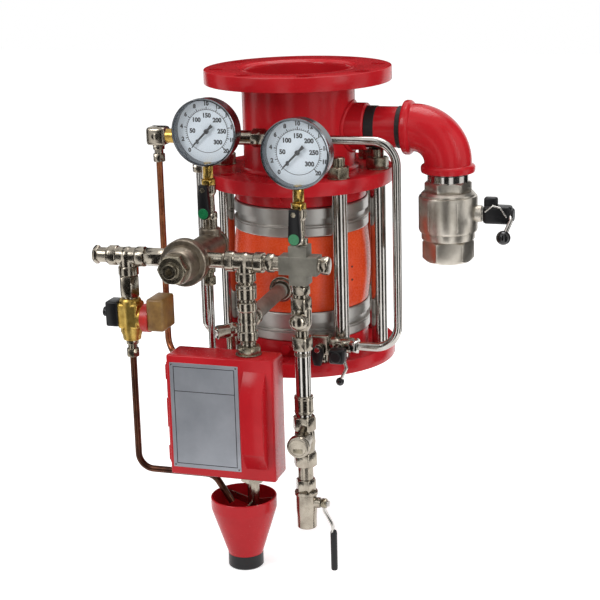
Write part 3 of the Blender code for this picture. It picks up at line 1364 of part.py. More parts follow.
def release_valve(stack):
    """Small ball valve behind the door; its handle lies across the box when it is shut."""
    top = box_top - box_entry + seated
    low = top - 0.0600
    middle = (top + low) / 2
    at = lambda z: stack + up * z
    barrel = turned([(0, low), (0.0135, low), (0.0135, low + 0.014), (0.0115, low + 0.017),
                     (0.0115, middle - 0.013),
                     (0.0140, middle - 0.010), (0.0140, middle + 0.010), (0.0115, middle + 0.013),
                     (0.0115, top - 0.017), (0.0135, top - 0.014), (0.0135, top), (0, top)], stack, up,
                    fine_sides)
    boss = cylinder(0.0060, 0.0155, fine_sides, at(middle), front)
    top_seat = cylinder(small_pipe_radius + thread_gap, small_thread + 0.001, small_sides,
                        at(top - small_thread))
    stem_seat = cylinder(0.0030 + running_gap, 0.0200, tiny_sides, at(middle) + front * 0.002, front)
    node("release_valve", "nickel", combined(barrel, [boss, *drip(at, low)],
                                            [top_seat, stem_seat, drip_bore(at, low)]))
    pivot = at(middle)
    face = 0.0160
    outline = [(0.0090, -0.0080), (0.0090, 0.0080), (-0.0200, 0.0070), (-0.0620, 0.0060), (-0.0660, 0.0),
               (-0.0620, -0.0060), (-0.0200, -0.0070)]
    flat = plate(outline, 0.0030, pivot + front * (face + 0.0015), front)
    stem = cylinder(0.0030, face + 0.001 - 0.003, tiny_sides, pivot + front * 0.003, front)
    nut = hexagon(0.0090, 0.0030, pivot + front * (face + 0.0025), front)
    node("release_handle", "red paint", combined(flat, [stem, nut]), pivot)


def funnel_profile(offset):
    """Inner or outer side of the funnel, from the rim down, moved in by offset."""
    return [(funnel_radius - offset, funnel_top), (funnel_radius - offset, funnel_top - funnel_band),
            (funnel_neck_radius - offset, funnel_bottom)]


def drip(at, valve_low):
    """Drip pipe, its nut under the box and the three arms that hold the funnel."""
    low = funnel_top - 0.0160
    pipe = cylinder(drip_pipe_radius, valve_low + 0.0020 - low, fine_sides, at(low))
    nut = hexagon(0.0300, 0.0095, at(box_bottom - gap - 0.0095))
    blades = [block((0.140, 0.0025, 0.0100), at(low + 0.0060) + on_circle(0.070, angle), spin=angle)
              for angle in (30, 150, 270)]
    inside = funnel_profile(funnel_wall + gap)
    keep = turned([(0, box_top), (inside[0][0], box_top), *inside, (0, funnel_bottom)],
                  (funnel_x, trim_y, 0), up, wide_sides)
    spider = combined(blades[0], blades[1:], [], [keep])
    return [pipe, nut, spider]


def drip_bore(at, valve_low):
    low = funnel_top - 0.0160
    return cylinder(drip_pipe_radius - 0.0020, valve_low + 0.0060 - low, fine_sides, at(low - 0.0010))


def drip_funnel():
    axis = Vector((funnel_x, trim_y, 0))
    wall = funnel_profile(0) + funnel_profile(funnel_wall)[::-1]
    cone = turned(wall, axis, up, wide_sides)
    inner = funnel_neck_radius - 0.0060
    outer = funnel_neck_radius + 0.0005
    low = funnel_bottom - funnel_ring_height
    ring = turned([(inner, low), (outer - 0.0020, low), (outer, low + 0.0020),
                   (outer, funnel_bottom + 0.0020),
                   (inner, funnel_bottom + 0.0020)], axis, up, wide_sides)
    node("drip_funnel", "red paint", combined(cone, [ring]))


spool()
body()
studs()
drain_branch()
run_line()
relay()
port_and_stack()
column()
gauges()
supply_line()
solenoid()
release_box()
drip_funnel()
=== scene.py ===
import json
import math

import bpy
from mathutils import Matrix, Vector

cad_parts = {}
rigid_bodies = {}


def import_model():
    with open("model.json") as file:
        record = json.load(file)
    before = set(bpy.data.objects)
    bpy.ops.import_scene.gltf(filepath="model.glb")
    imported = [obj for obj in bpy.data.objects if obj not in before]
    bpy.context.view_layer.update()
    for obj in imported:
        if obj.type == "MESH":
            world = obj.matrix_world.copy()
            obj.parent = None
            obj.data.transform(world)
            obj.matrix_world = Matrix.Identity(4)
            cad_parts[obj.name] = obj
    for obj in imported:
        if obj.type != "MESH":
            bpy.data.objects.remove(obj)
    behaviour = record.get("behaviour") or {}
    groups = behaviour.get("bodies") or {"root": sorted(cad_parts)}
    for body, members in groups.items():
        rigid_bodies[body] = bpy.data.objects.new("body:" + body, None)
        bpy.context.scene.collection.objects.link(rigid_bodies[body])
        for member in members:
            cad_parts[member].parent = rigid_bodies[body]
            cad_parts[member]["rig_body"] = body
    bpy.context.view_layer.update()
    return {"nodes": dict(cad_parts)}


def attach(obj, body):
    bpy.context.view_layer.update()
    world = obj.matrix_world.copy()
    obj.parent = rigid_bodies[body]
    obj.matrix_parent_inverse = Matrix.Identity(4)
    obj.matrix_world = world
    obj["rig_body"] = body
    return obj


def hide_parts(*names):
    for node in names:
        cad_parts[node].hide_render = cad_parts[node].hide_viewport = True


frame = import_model()

up, right, front = Vector((0, 0, 1)), Vector((1, 0, 0)), Vector((0, -1, 0))
down, left, back = -up, -right, -front
print("frame loaded:", len(frame["nodes"]), "nodes")


# finishes

def linearColour(hexText):
    parts = [int(hexText[i:i + 2], 16) / 255 for i in (1, 3, 5)]
    return (*[c / 12.92 if c <= 0.04045 else ((c + 0.055) / 1.055) ** 2.4 for c in parts], 1)


def addNode(tree, kind, settings, links=()):
    made = tree.nodes.new(kind)
    for key, value in settings.items():
        if isinstance(key, int) or key in made.inputs:
            made.inputs[key].default_value = value
        else:
            setattr(made, key, value)
    for source, output, target in links:
        tree.links.new(source.outputs[output], made.inputs[target])
    return made


finishSettings = {"bevel": 0.0005, "bumpDepth": 0.0002, "rampLow": 0.32, "rampHigh": 0.70}


def makeFinish(name, look):
    # patches are broad colour changes, grain is the fine roughness and bump; sizes in mm
    s = finishSettings
    material = bpy.data.materials.new(name)
    material.use_nodes = True
    tree = material.node_tree
    shader = tree.nodes["Principled BSDF"]
    place = addNode(tree, "ShaderNodeTexCoord", {})
    stretch = addNode(tree, "ShaderNodeMapping", {"Scale": look.get("stretch", (1, 1, 1))},
                      [(place, "Object", "Vector")])
    patches = addNode(tree, "ShaderNodeTexNoise",
                      {"Scale": 1000 / look["patch"], "Detail": 4.0, "Roughness": 0.6},
                      [(place, "Object", "Vector")])
    grain = addNode(tree, "ShaderNodeTexNoise",
                    {"Scale": 1000 / look["grain"], "Detail": 3.0, "Roughness": 0.55},
                    [(stretch, "Vector", "Vector")])
    ramp = addNode(tree, "ShaderNodeValToRGB", {}, [(patches, "Fac", "Fac")])
    stops = ramp.color_ramp.elements
    stops[0].position, stops[1].position = s["rampLow"], s["rampHigh"]
    stops[0].color, stops[1].color = linearColour(look["dark"]), linearColour(look["light"])
    tree.links.new(ramp.outputs["Color"], shader.inputs["Base Color"])
    low, high = look["rough"]
    rough = addNode(tree, "ShaderNodeMapRange",
                    {"From Min": 0.3, "From Max": 0.7, "To Min": low, "To Max": high},
                    [(grain, "Fac", "Value")])
    tree.links.new(rough.outputs["Result"], shader.inputs["Roughness"])
    edge = addNode(tree, "ShaderNodeBevel", {"samples": 3, "Radius": s["bevel"]})
    bump = addNode(tree, "ShaderNodeBump", {"Strength": look["bump"], "Distance": s["bumpDepth"]},
                   [(grain, "Fac", "Height"), (edge, "Normal", "Normal")])
    tree.links.new(bump.outputs["Normal"], shader.inputs["Normal"])
    for key, value in look.get("shader", {}).items():
        shader.inputs[key].default_value = value
    return material


threadSettings = {"pitch": 2.5, "turnsPerRing": 10, "strength": 0.9, "depth": 0.0006}


def threadedFinish(name, look):
    # rolled thread as rings across Z in the bump; one turn is finer than the render shows,
    # so a ring stands for ten of them
    s = threadSettings
    material = makeFinish(name, look)
    tree = material.node_tree
    place = next(n for n in tree.nodes if n.type == "TEX_COORD")
    bump = next(n for n in tree.nodes if n.type == "BUMP")
    ringScale = 314.16 / (s["pitch"] * s["turnsPerRing"])       # a scale of 314.16 is a ring each mm
    wave = addNode(tree, "ShaderNodeTexWave",
                   {"bands_direction": "Z", "Scale": ringScale, "Distortion": 0.0},
                   [(place, "Object", "Vector")])
    rings = addNode(tree, "ShaderNodeBump", {"Strength": s["strength"], "Distance": s["depth"]},
                    [(wave, "Fac", "Height"), (bump, "Normal", "Normal")])
    tree.links.new(rings.outputs["Normal"], tree.nodes["Principled BSDF"].inputs["Normal"])
    return material


looks = {
    # alkyd gloss enamel, sprayed: deep red, a little orange peel in its shine
    "redEnamel": {"light": "#bd1f27", "dark": "#ad1820", "patch": 60, "grain": 2.5, "rough": (0.16, 0.28),
                  "bump": 0.06, "shader": {"Specular IOR Level": 0.28, "IOR": 1.45}},
    # orange enamel on the valve's barrel
    "orangeEnamel": {"light": "#e0532a", "dark": "#cf4220", "patch": 45, "grain": 2.5, "rough": (0.20, 0.34),
                     "bump": 0.06, "shader": {"Specular IOR Level": 0.28, "IOR": 1.45}},
    # stainless steel, turned: satin with fine lines round the work
    "turnedStainless": {"light": "#c3c1bd", "dark": "#b2afaa", "patch": 90, "grain": 1.2,
                        "stretch": (0.15, 0.15, 5),
                        "rough": (0.36, 0.44), "bump": 0.05, "shader": {"Metallic": 1.0}},
    # drawn stainless tube: bright
    "drawnTube": {"light": "#c9c6c1", "dark": "#aca8a2", "patch": 40, "grain": 1.5, "rough": (0.10, 0.18),
                  "bump": 0.05, "shader": {"Metallic": 1.0}},
    # matt stainless block, bead blasted
    "blastedSteel": {"light": "#918e84", "dark": "#77746b", "patch": 25, "grain": 0.7, "rough": (0.42, 0.58),
                     "bump": 0.30, "shader": {"Metallic": 0.9}},
    # nickel plate over malleable iron: warm grey, shiny with a cast skin
    "nickelPlate": {"light": "#aea698", "dark": "#8a8276", "patch": 16, "grain": 1.6, "rough": (0.14, 0.28),
                    "bump": 0.14, "shader": {"Metallic": 1.0}},
    # nickel plated brass ball valve: bright with a sand cast skin
    "brightNickel": {"light": "#d3cdc2", "dark": "#b4ada1", "patch": 24, "grain": 1.4, "rough": (0.28, 0.40),
                     "bump": 0.18, "shader": {"Metallic": 1.0}},
    # zinc plated steel: greyer, with a brown cast
    "zincSteel": {"light": "#a59d8b", "dark": "#766e5e", "patch": 20, "grain": 1.2, "rough": (0.20, 0.36),
                  "bump": 0.20, "shader": {"Metallic": 1.0}},
    # cast gunmetal of the relay, sand cast
    "castGunmetal": {"light": "#a79c8c", "dark": "#71675b", "patch": 12, "grain": 0.9, "rough": (0.30, 0.48),
                     "bump": 0.45, "shader": {"Metallic": 1.0}},
    # bright brass, machined
    "machinedBrass": {"light": "#cbab5f", "dark": "#a07f3c", "patch": 16, "grain": 1.2, "rough": (0.16, 0.32),
                      "bump": 0.14, "shader": {"Metallic": 1.0}},
    # cast brass valve body
    "castBrass": {"light": "#d6b765", "dark": "#aa883f", "patch": 10, "grain": 0.8, "rough": (0.28, 0.46),
                  "bump": 0.4, "shader": {"Metallic": 1.0}},
    # copper tube, dulled
    "dullCopper": {"light": "#b0714d", "dark": "#7d4631", "patch": 22, "grain": 1.5, "rough": (0.24, 0.42),
                   "bump": 0.10, "shader": {"Metallic": 1.0}},
    # oxidised copper tube, dark brown
    "brownCopper": {"light": "#6a4433", "dark": "#3f2a24", "patch": 22, "grain": 1.5, "rough": (0.26, 0.42),
                    "bump": 0.10, "shader": {"Metallic": 1.0}},
    # sealing tape and jointing paste on the pipe threads; the same dark finish is also painted shade for two
    # small sight holes on the barrel
    "jointPasteAndHoleShade": {"light": "#1b1a1a", "dark": "#0d0c0c", "patch": 6, "grain": 0.8, "rough": (0.55, 0.80),
                   "bump": 0.5, "shader": {}},
    # moulded nylon, black
    "blackNylon": {"light": "#101013", "dark": "#09090b", "patch": 20, "grain": 0.8, "rough": (0.28, 0.42),
                   "bump": 0.15, "shader": {"Specular IOR Level": 0.35}},
    # phenolic knob, polished black
    "blackKnob": {"light": "#18181a", "dark": "#101011", "patch": 20, "grain": 1.5, "rough": (0.10, 0.18),
                  "bump": 0.04, "shader": {"IOR": 1.55}},
    # moulded coil housing, brown
    "brownPhenolic": {"light": "#94713a", "dark": "#6f4f27", "patch": 14, "grain": 0.9, "rough": (0.30, 0.46),
                      "bump": 0.18, "shader": {"IOR": 1.5}},
    # red moulded ring of the coil
    "redNylon": {"light": "#c22a22", "dark": "#a3201b", "patch": 14, "grain": 0.9, "rough": (0.28, 0.42),
                 "bump": 0.12, "shader": {"IOR": 1.5}},
    # black sleeve rubber
    "sleeveRubber": {"light": "#171717", "dark": "#0e0e0e", "patch": 12, "grain": 0.6, "rough": (0.60, 0.80),
                     "bump": 0.3, "shader": {"Specular IOR Level": 0.25}},
    # green lacquered disc on the levers
    "greenLacquer": {"light": "#0f7a47", "dark": "#0a6339", "patch": 8, "grain": 1.0, "rough": (0.22, 0.34),
                     "bump": 0.08, "shader": {"Coat Weight": 0.4}},
    # plain steel pipe of the priming branch, dull and grey
    "dullSteel": {"light": "#8f8c82", "dark": "#6d6a62", "patch": 25, "grain": 1.2, "rough": (0.38, 0.50),
                  "bump": 0.12, "shader": {"Metallic": 0.7}},
    # polished steel rim of a gauge, darker than the tubes
    "gaugeRim": {"light": "#7d8084", "dark": "#63666a", "patch": 40, "grain": 1.2, "rough": (0.16, 0.26),
                 "bump": 0.05, "shader": {"Metallic": 1.0}},
    # printed dial, matt pale blue-white
    "dialWhite": {"light": "#e6eff7", "dark": "#dde8f1", "patch": 30, "grain": 0.5, "rough": (0.50, 0.62),
                  "bump": 0.03, "shader": {}},
    # printed scale
    "dialInk": {"light": "#17181b", "dark": "#101114", "patch": 10, "grain": 0.6, "rough": (0.50, 0.60),
                "bump": 0.02, "shader": {}},
    # anodised aluminium sheet, brushed: the bare plate on the door
    "brushedPlate": {"light": "#b4b8bf", "dark": "#a2a6ae", "patch": 50, "grain": 1.2,
                     "stretch": (0.15, 1, 6),
                     "rough": (0.36, 0.50), "bump": 0.15, "shader": {"Metallic": 0.75}},
    "plateBorder": {"light": "#2b2b2e", "dark": "#1f1f22", "patch": 10, "grain": 0.8, "rough": (0.45, 0.55),
                    "bump": 0.05, "shader": {}},
}
finishes = {name: makeFinish(name, look) for name, look in looks.items()}
finishes["threadedSteel"] = threadedFinish("threadedSteel", looks["zincSteel"])

# clear acrylic window of a gauge: nearly invisible, a faint shine
windowLook = {"alpha": 0.04, "rough": 0.04, "colour": "#f4f8fb"}
acrylic = bpy.data.materials.new("clearAcrylic")
acrylic.use_nodes = True
acrylicShader = acrylic.node_tree.nodes["Principled BSDF"]
acrylicShader.inputs["Alpha"].default_value = windowLook["alpha"]
acrylicShader.inputs["Roughness"].default_value = windowLook["rough"]
acrylicShader.inputs["Base Color"].default_value = linearColour(windowLook["colour"])
finishes["clearAcrylic"] = acrylic
print("finishes:", len(finishes))


# shaping

def deselect():
    if bpy.context.object and bpy.context.object.mode != "OBJECT":
        bpy.ops.object.mode_set(mode="OBJECT")
    bpy.ops.object.select_all(action="DESELECT")


def only(shape):
    deselect()
    shape.select_set(True)
    bpy.context.view_layer.objects.active = shape


def inScene(name, data):
    shape = bpy.data.objects.new(name, data)
    bpy.context.scene.collection.objects.link(shape)
    only(shape)
    return shape


def settle(shape, at, axis, spin=0):
    # bakes the place into the mesh, with local Z along axis
    axis = Vector(axis).normalized()
    turn = up.rotation_difference(axis).to_matrix().to_4x4()
    if axis.dot(up) < -0.9999:                   # straight down has no turning axis of its own
        turn = Matrix.Rotation(math.pi, 4, "X")
    shape.data.transform(Matrix.Translation(at) @ turn @ Matrix.Rotation(math.radians(spin), 4, "Z"))
    shape.matrix_world = Matrix.Identity(4)
    shape.data.update()


def cleanMesh(shape):
    # merges doubles, then turns every face outwards
    only(shape)
    bpy.ops.object.mode_set(mode="EDIT")
    bpy.ops.mesh.select_all(action="SELECT")
    bpy.ops.mesh.remove_doubles(threshold=0.000005)
    bpy.ops.mesh.normals_make_consistent(inside=False)
    bpy.ops.object.mode_set(mode="OBJECT")


def applyModifier(shape, kind, **settings):
    only(shape)
    step = shape.modifiers.new(kind.lower(), kind)
    for key, value in settings.items():
        setattr(step, key, value)
    bpy.ops.object.modifier_apply(modifier=step.name)


def booleanWith(shape, operation, tools):
    for tool in tools:
        applyModifier(shape, "BOOLEAN", operation=operation, solver="EXACT", object=tool)
        bpy.data.objects.remove(tool, do_unlink=True)
    return shape


def soften(shape, width, segments=2):
    if width:
        applyModifier(shape, "BEVEL", width=width, segments=segments, limit_method="ANGLE",
                      angle_limit=math.radians(35), use_clamp_overlap=True)


def wear(shape, finish):
    shape.data.materials.clear()
    shape.data.materials.append(finishes[finish])
    return shape


def turned(profile, finish, at=(0, 0, 0), axis=up, steps=48, edge=0.0):
    # (radius, height) points spun about local Z; a profile clear of the axis is closed on itself
    mesh = bpy.data.meshes.new("profile")
    lines = [(i, i + 1) for i in range(len(profile) - 1)]
    if min(r for r, z in profile) > 0:
        lines.append((len(profile) - 1, 0))
    mesh.from_pydata([(r, 0, z) for r, z in profile], lines, [])
    shape = inScene("turned", mesh)
    bpy.ops.object.mode_set(mode="EDIT")
    bpy.ops.mesh.select_all(action="SELECT")
    bpy.ops.mesh.spin(steps=steps, angle=2 * math.pi, center=(0, 0, 0), axis=(0, 0, 1))
    cleanMesh(shape)
    soften(shape, edge)
    settle(shape, at, axis)
    return wear(shape, finish)


def rod(radius, length, finish, at=(0, 0, 0), axis=up, edge=0.0006, steps=32):
    edge = min(edge, length * 0.3, radius * 0.4)
    return turned([(0, 0), (radius - edge, 0), (radius, edge), (radius, length - edge),
                   (radius - edge, length), (0, length)], finish, at, axis, steps)


def pipe(outer, inner, length, finish, at=(0, 0, 0), axis=up, edge=0.0008, steps=48):
    return turned([(inner, 0), (outer - edge, 0), (outer, edge), (outer, length - edge),
                   (outer - edge, length), (inner, length)], finish, at, axis, steps)


def bead(radius, thick, finish, at=(0, 0, 0), axis=up, steps=64):
    # a ring of round section, for welds and rolled edges
    corners = [a * math.pi / 5 for a in range(10)]
    points = [(radius + thick * math.cos(a), thick * math.sin(a)) for a in corners]
    return turned(points, finish, at, axis, steps)


def nut(flats, height, finish, at=(0, 0, 0), axis=up, spin=0, hole=0.0):
    # hexagon with its corners turned off at both ends
    deselect()
    corner, face = flats / math.sqrt(3), flats * 0.485
    bpy.ops.mesh.primitive_cylinder_add(vertices=6, radius=corner, depth=height, location=(0, 0, 0))
    shape = bpy.context.object
    shape.data.transform(Matrix.Translation((0, 0, height / 2))
                         @ Matrix.Rotation(math.radians(30 + spin), 4, "Z"))
    slope, rim = min(height * 0.2, (corner - face) * 0.75), corner + 0.0001
    turning = turned([(0, 0), (face, 0), (rim, slope), (rim, height - slope), (face, height),
                      (0, height)], finish, steps=36)
    wear(shape, finish)
    booleanWith(shape, "INTERSECT", [turning])
    if hole:
        drill = rod(hole, height * 1.4, finish, (0, 0, -height * 0.2), edge=0)
        booleanWith(shape, "DIFFERENCE", [drill])
    soften(shape, 0.0003, 1)
    settle(shape, at, axis)
    return shape


def block(size, finish, at=(0, 0, 0), axis=up, spin=0, edge=0.001, segments=3):
    deselect()
    bpy.ops.mesh.primitive_cube_add(size=1, location=(0, 0, 0))
    shape = bpy.context.object
    shape.data.transform(Matrix.Diagonal((*size, 1)))
    soften(shape, edge, segments)
    settle(shape, at, axis, spin)
    return wear(shape, finish)


def ball(radius, finish, at=(0, 0, 0)):
    deselect()
    bpy.ops.mesh.primitive_uv_sphere_add(segments=32, ring_count=20, radius=radius, location=(0, 0, 0))
    shape = bpy.context.object
    settle(shape, at, up)
    return wear(shape, finish)


def plate(outline, thickness, finish, at=(0, 0, 0), axis=up, edge=0.0004, segments=2):
    # flat (x, y) outline, thickness deep and centred on its plane
    mesh = bpy.data.meshes.new("outline")
    points = [(x, y, -thickness / 2) for x, y in outline]
    mesh.from_pydata(points, [], [tuple(range(len(outline)))])
    shape = inScene("plate", mesh)
    bpy.ops.object.mode_set(mode="EDIT")
    bpy.ops.mesh.select_all(action="SELECT")
    bpy.ops.mesh.extrude_region_move(TRANSFORM_OT_translate={"value": (0, 0, thickness)})
    cleanMesh(shape)
    soften(shape, edge, segments)
    settle(shape, at, axis)
    return wear(shape, finish)


def roundedRoute(corners, bend, steps=14):
    # straights between the corners, each corner rounded to the bend's radius
    corners = [Vector(c) for c in corners]
    route = [corners[0]]
    for before, corner, after in zip(corners, corners[1:], corners[2:]):
        toBefore, toAfter = (before - corner).normalized(), (after - corner).normalized()
        half = toBefore.angle(toAfter) / 2
        centre = corner + (toBefore + toAfter).normalized() * bend / math.sin(half)
        first = corner + toBefore * bend / math.tan(half) - centre
        last = corner + toAfter * bend / math.tan(half) - centre
        whole = first.angle(last)
        for step in range(steps + 1):
            share = step / steps
            spoke = first * math.sin((1 - share) * whole) + last * math.sin(share * whole)
            route.append(centre + spoke / math.sin(whole))
    route.append(corners[-1])
    return route


def bentTube(route, radius, finish, sides=8):
    curve = bpy.data.curves.new("route", "CURVE")
    curve.dimensions = "3D"
    curve.bevel_depth = radius
    curve.bevel_resolution = sides
    curve.use_fill_caps = True
    line = curve.splines.new("POLY")
    line.points.add(len(route) - 1)
    for point, place in zip(line.points, route):
        point.co = (*place, 1)
    inScene("tube", curve)
    bpy.ops.object.convert(target="MESH")
    shape = bpy.context.object
    cleanMesh(shape)
    return wear(shape, finish)


def figures(text, size, at, finish):
    # plain figures of a dial as a thin mesh that faces the front
    deselect()
    bpy.ops.object.text_add(location=(0, 0, 0))
    words = bpy.context.object
    words.data.body = text
    words.data.size = size
    words.data.align_x, words.data.align_y = "CENTER", "CENTER"
    words.data.extrude = 0.0001
    words.data.offset = size * 0.05              # makes the strokes bolder
    words.data.resolution_u = 3
    bpy.ops.object.convert(target="MESH")
    shape = bpy.context.object
    shape.data.transform(Matrix.Translation(at) @ Matrix.Rotation(math.pi / 2, 4, "X"))
    shape.matrix_world = Matrix.Identity(4)
    return wear(shape, finish)


def assemble(name, shapes, nodes):
    # joins the shapes, which then stand for the CAD nodes and ride on their body
    deselect()
    for shape in shapes:
        shape.select_set(True)
    bpy.context.view_layer.objects.active = shapes[0]
    if len(shapes) > 1:
        bpy.ops.object.join()
    whole = bpy.context.object
    whole.name = whole.data.name = name
    only(whole)
    bpy.ops.object.shade_smooth_by_angle(angle=math.radians(32))
    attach(whole, frame["nodes"][nodes[0]]["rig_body"])
    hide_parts(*nodes)


def onCircle(radius, degrees, z=0.0):
    angle = math.radians(degrees)
    return Vector((radius * math.cos(angle), radius * math.sin(angle), z))


# flanges and spool

flangeSizes = {"radius": 0.1397, "thick": 0.0210, "circle": 0.12065, "hole": 0.0111, "edge": 0.0012,
               "chamfer": 0.0050}


def flangeShape(bottom, bore, firstAngle, raised):
    # ring with eight holes; the raised one has its bore chamfered for the inner weld
    s = flangeSizes
    top, chamfer = s["thick"], s["chamfer"]
    profile = [(bore, 0), (s["radius"], 0), (s["radius"], top), (bore, top)]
    if raised:
        profile[-1:] = [(bore + chamfer, top), (bore, top - chamfer)]
    ring = turned(profile, "redEnamel", (0, 0, bottom), steps=96, edge=s["edge"])
    places = [onCircle(s["circle"], firstAngle + 45 * i, bottom - top * 0.2) for i in range(8)]
    return booleanWith(ring, "DIFFERENCE", [rod(s["hole"], top * 1.4, "redEnamel", place, edge=0)
                                            for place in places])


for name, node, bottom, bore, firstAngle, raised in (
        ("outletFlangeSteel", "outlet_flange", 0.4197, 0.08445, 22.5, True),
        ("spoolFlangeSteel", "spool_flange", 0.2700, 0.08445, 0, False),
        ("inletFlangeSteel", "inlet_flange", 0.0, 0.0740, 0, False)):
    assemble(name, [flangeShape(bottom, bore, firstAngle, raised)], [node])

spoolSizes = {"outer": 0.08415, "inner": 0.07705, "low": 0.2755, "high": 0.4352, "branchZ": 0.3535,
              "socket": 0.0350, "socketStart": 0.0700, "socketEnd": 0.1070, "socketBore": 0.0262,
              "weld": 0.0042, "innerWeld": 0.0030, "saddleWeld": 0.0034}
s = spoolSizes
spool = pipe(s["outer"], s["inner"], s["high"] - s["low"], "redEnamel", (0, 0, s["low"]), steps=96)
socket = rod(s["socket"], s["socketEnd"] - s["socketStart"], "redEnamel",
             (s["socketStart"], 0, s["branchZ"]), right, 0.0022, 64)
booleanWith(spool, "UNION", [socket])
wayUp = rod(s["inner"] - 0.0002, 0.10, "redEnamel", (0, 0, 0.30), edge=0, steps=96)
wayOut = rod(s["socketBore"], 0.060, "redEnamel", (0.060, 0, s["branchZ"]), right, 0)
booleanWith(spool, "DIFFERENCE", [wayUp, wayOut])
welds = [bead(radius, thick, "redEnamel", (0, 0, level)) for radius, thick, level in (
    (s["outer"] + 0.0006, s["weld"], 0.4192), (s["outer"] + 0.0006, s["weld"], 0.2918),
    (s["inner"] + 0.0048, s["innerWeld"], 0.4362))]
saddle = []
for index in range(48):                          # weld where the socket meets the pipe
    angle = math.radians(index * 7.5)
    y, z = (s["socket"] + 0.0010) * math.cos(angle), (s["socket"] + 0.0010) * math.sin(angle)
    saddle.append(Vector((math.sqrt(s["outer"] ** 2 - y * y), y, s["branchZ"] + z)))
welds.append(bentTube([*saddle, saddle[0]], s["saddleWeld"], "redEnamel", 3))
assemble("spoolPipeWelded", [spool, *welds], ["spool_pipe"])
print("flanges and spool done")


# valve body

bodySizes = {"collar": 0.0990, "neck": 0.0950, "bore": 0.0770, "inside": 0.0870, "low": 0.0668,
             "high": 0.2242, "barrel": 0.0995, "barrelLow": 0.0886, "barrelHigh": 0.2024, "bulge": 0.0045}
s = bodySizes
for name, node, seatZ, shoulder, neckEnd, plugAngle, plugZ in (
        ("lowerCollarCast", "lower_collar", 0.0213, 0.0445, 0.0664, -88, 0.0330),
        ("upperCollarCast", "upper_collar", 0.2697, 0.2465, 0.2246, -92, 0.2580)):
    ring = turned([(s["bore"], seatZ), (s["collar"], seatZ), (s["collar"], shoulder), (s["neck"], shoulder),
                   (s["neck"], neckEnd), (s["bore"], neckEnd)], "redEnamel", steps=96, edge=0.0015)
    out = onCircle(1, plugAngle)
    plug = nut(0.0130, 0.0066, "redEnamel", onCircle(s["collar"] - 0.0010, plugAngle, plugZ), out)
    washer = rod(0.0085, 0.0018, "redEnamel", onCircle(s["collar"] - 0.0012, plugAngle, plugZ), out)
    assemble(name, [ring, plug, washer], [node])

barrel = [(s["inside"], s["low"]), (s["neck"], s["low"]), (s["neck"], s["barrelLow"])]
for step in range(17):
    share = step / 16
    barrel.append((s["barrel"] + s["bulge"] * math.sin(math.pi * share),
                   s["barrelLow"] + share * (s["barrelHigh"] - s["barrelLow"])))
barrel += [(s["neck"], s["barrelHigh"]), (s["neck"], s["high"]), (s["inside"], s["high"])]
shell = turned(barrel, "orangeEnamel", steps=96, edge=0.0010)
out = Vector((0.0924, -0.0477, 0)).normalized()
holeShades = [rod(0.0016, 0.0010, "jointPasteAndHoleShade", out * 0.1034 + up * z, out, 0.0002, 16)
        for z in (0.151, 0.131)]                 # painted shade: two dark discs stand in for two small sight holes
assemble("valveBarrel", [shell, *holeShades], ["valve_housing"])

clampSizes = {"radius": 0.1015, "inner": 0.0953, "half": 0.02145, "groove": 0.0052, "depth": 0.0050,
              "split": 112.5, "gap": 0.0100, "lug": (0.0120, 0.0260, 0.0220)}
s = clampSizes
radius, half, groove = s["radius"], s["half"], s["groove"]
for name, node, middle in (("lowerClampBand", "lower_clamp", 0.06655),
                           ("upperClampBand", "upper_clamp", 0.22445)):
    band = turned([(s["inner"], -half), (radius - 0.0012, -half), (radius, -half + 0.0015),
                   (radius, -groove - 0.0035), (radius - 0.0016, -groove - 0.0025),
                   (radius, -groove - 0.0012), (radius, -groove), (radius - s["depth"], -groove + 0.001),
                   (radius - s["depth"], groove - 0.001), (radius, groove), (radius, half - 0.0015),
                   (radius - 0.0012, half), (s["inner"], half)],
                  "turnedStainless", (0, 0, middle), steps=96)
    out = onCircle(1, s["split"])
    across = Vector((-out.y, out.x, 0))
    lugAt = out * (radius + 0.0040) + up * middle
    lugs = block(s["lug"], "turnedStainless", lugAt, spin=s["split"], edge=0.0015)
    for shape in (band, lugs):
        slot = block((0.06, s["gap"], 0.06), "turnedStainless", out * radius + up * middle,
                     spin=s["split"], edge=0)
        booleanWith(shape, "DIFFERENCE", [slot])
    bolt = rod(0.0040, 0.0300, "zincSteel", lugAt - across * 0.0150, across, steps=20)
    head = nut(0.0130, 0.0076, "zincSteel", lugAt - across * 0.0190, across)
    lockNut = nut(0.0130, 0.0070, "zincSteel", lugAt + across * 0.0114, across)
    assemble(name, [band, lugs, bolt, head, lockNut], [node])

# studs from flange to flange, each with its spacer tube, washer and nut
rodSizes = {"stud": 0.0098, "low": 0.0020, "top": 0.3218, "sleeve": (0.0118, 0.2484), "sleeveLow": 0.0213,
            "nut": (0.0300, 0.0175), "nutLow": 0.2913, "washer": (0.0165, 0.0012), "washerLow": 0.2911}
s = rodSizes
for index, angle in enumerate((-45, 0, 45, 90, 135, 180)):
    at = lambda level: onCircle(flangeSizes["circle"], angle, level)
    shapes = [rod(s["stud"], s["top"] - s["low"], "threadedSteel", at(s["low"]), edge=0.0015),
              rod(*s["sleeve"], "drawnTube", at(s["sleeveLow"]), edge=0.0008, steps=40),
              nut(*s["nut"], "zincSteel", at(s["nutLow"]), spin=angle - 30),
              rod(*s["washer"], "zincSteel", at(s["washerLow"]))]
    assemble("tieRod%d" % (index + 1), shapes, ["tie_rod_%d" % (index + 1)])
print("valve body done")


# drain branch

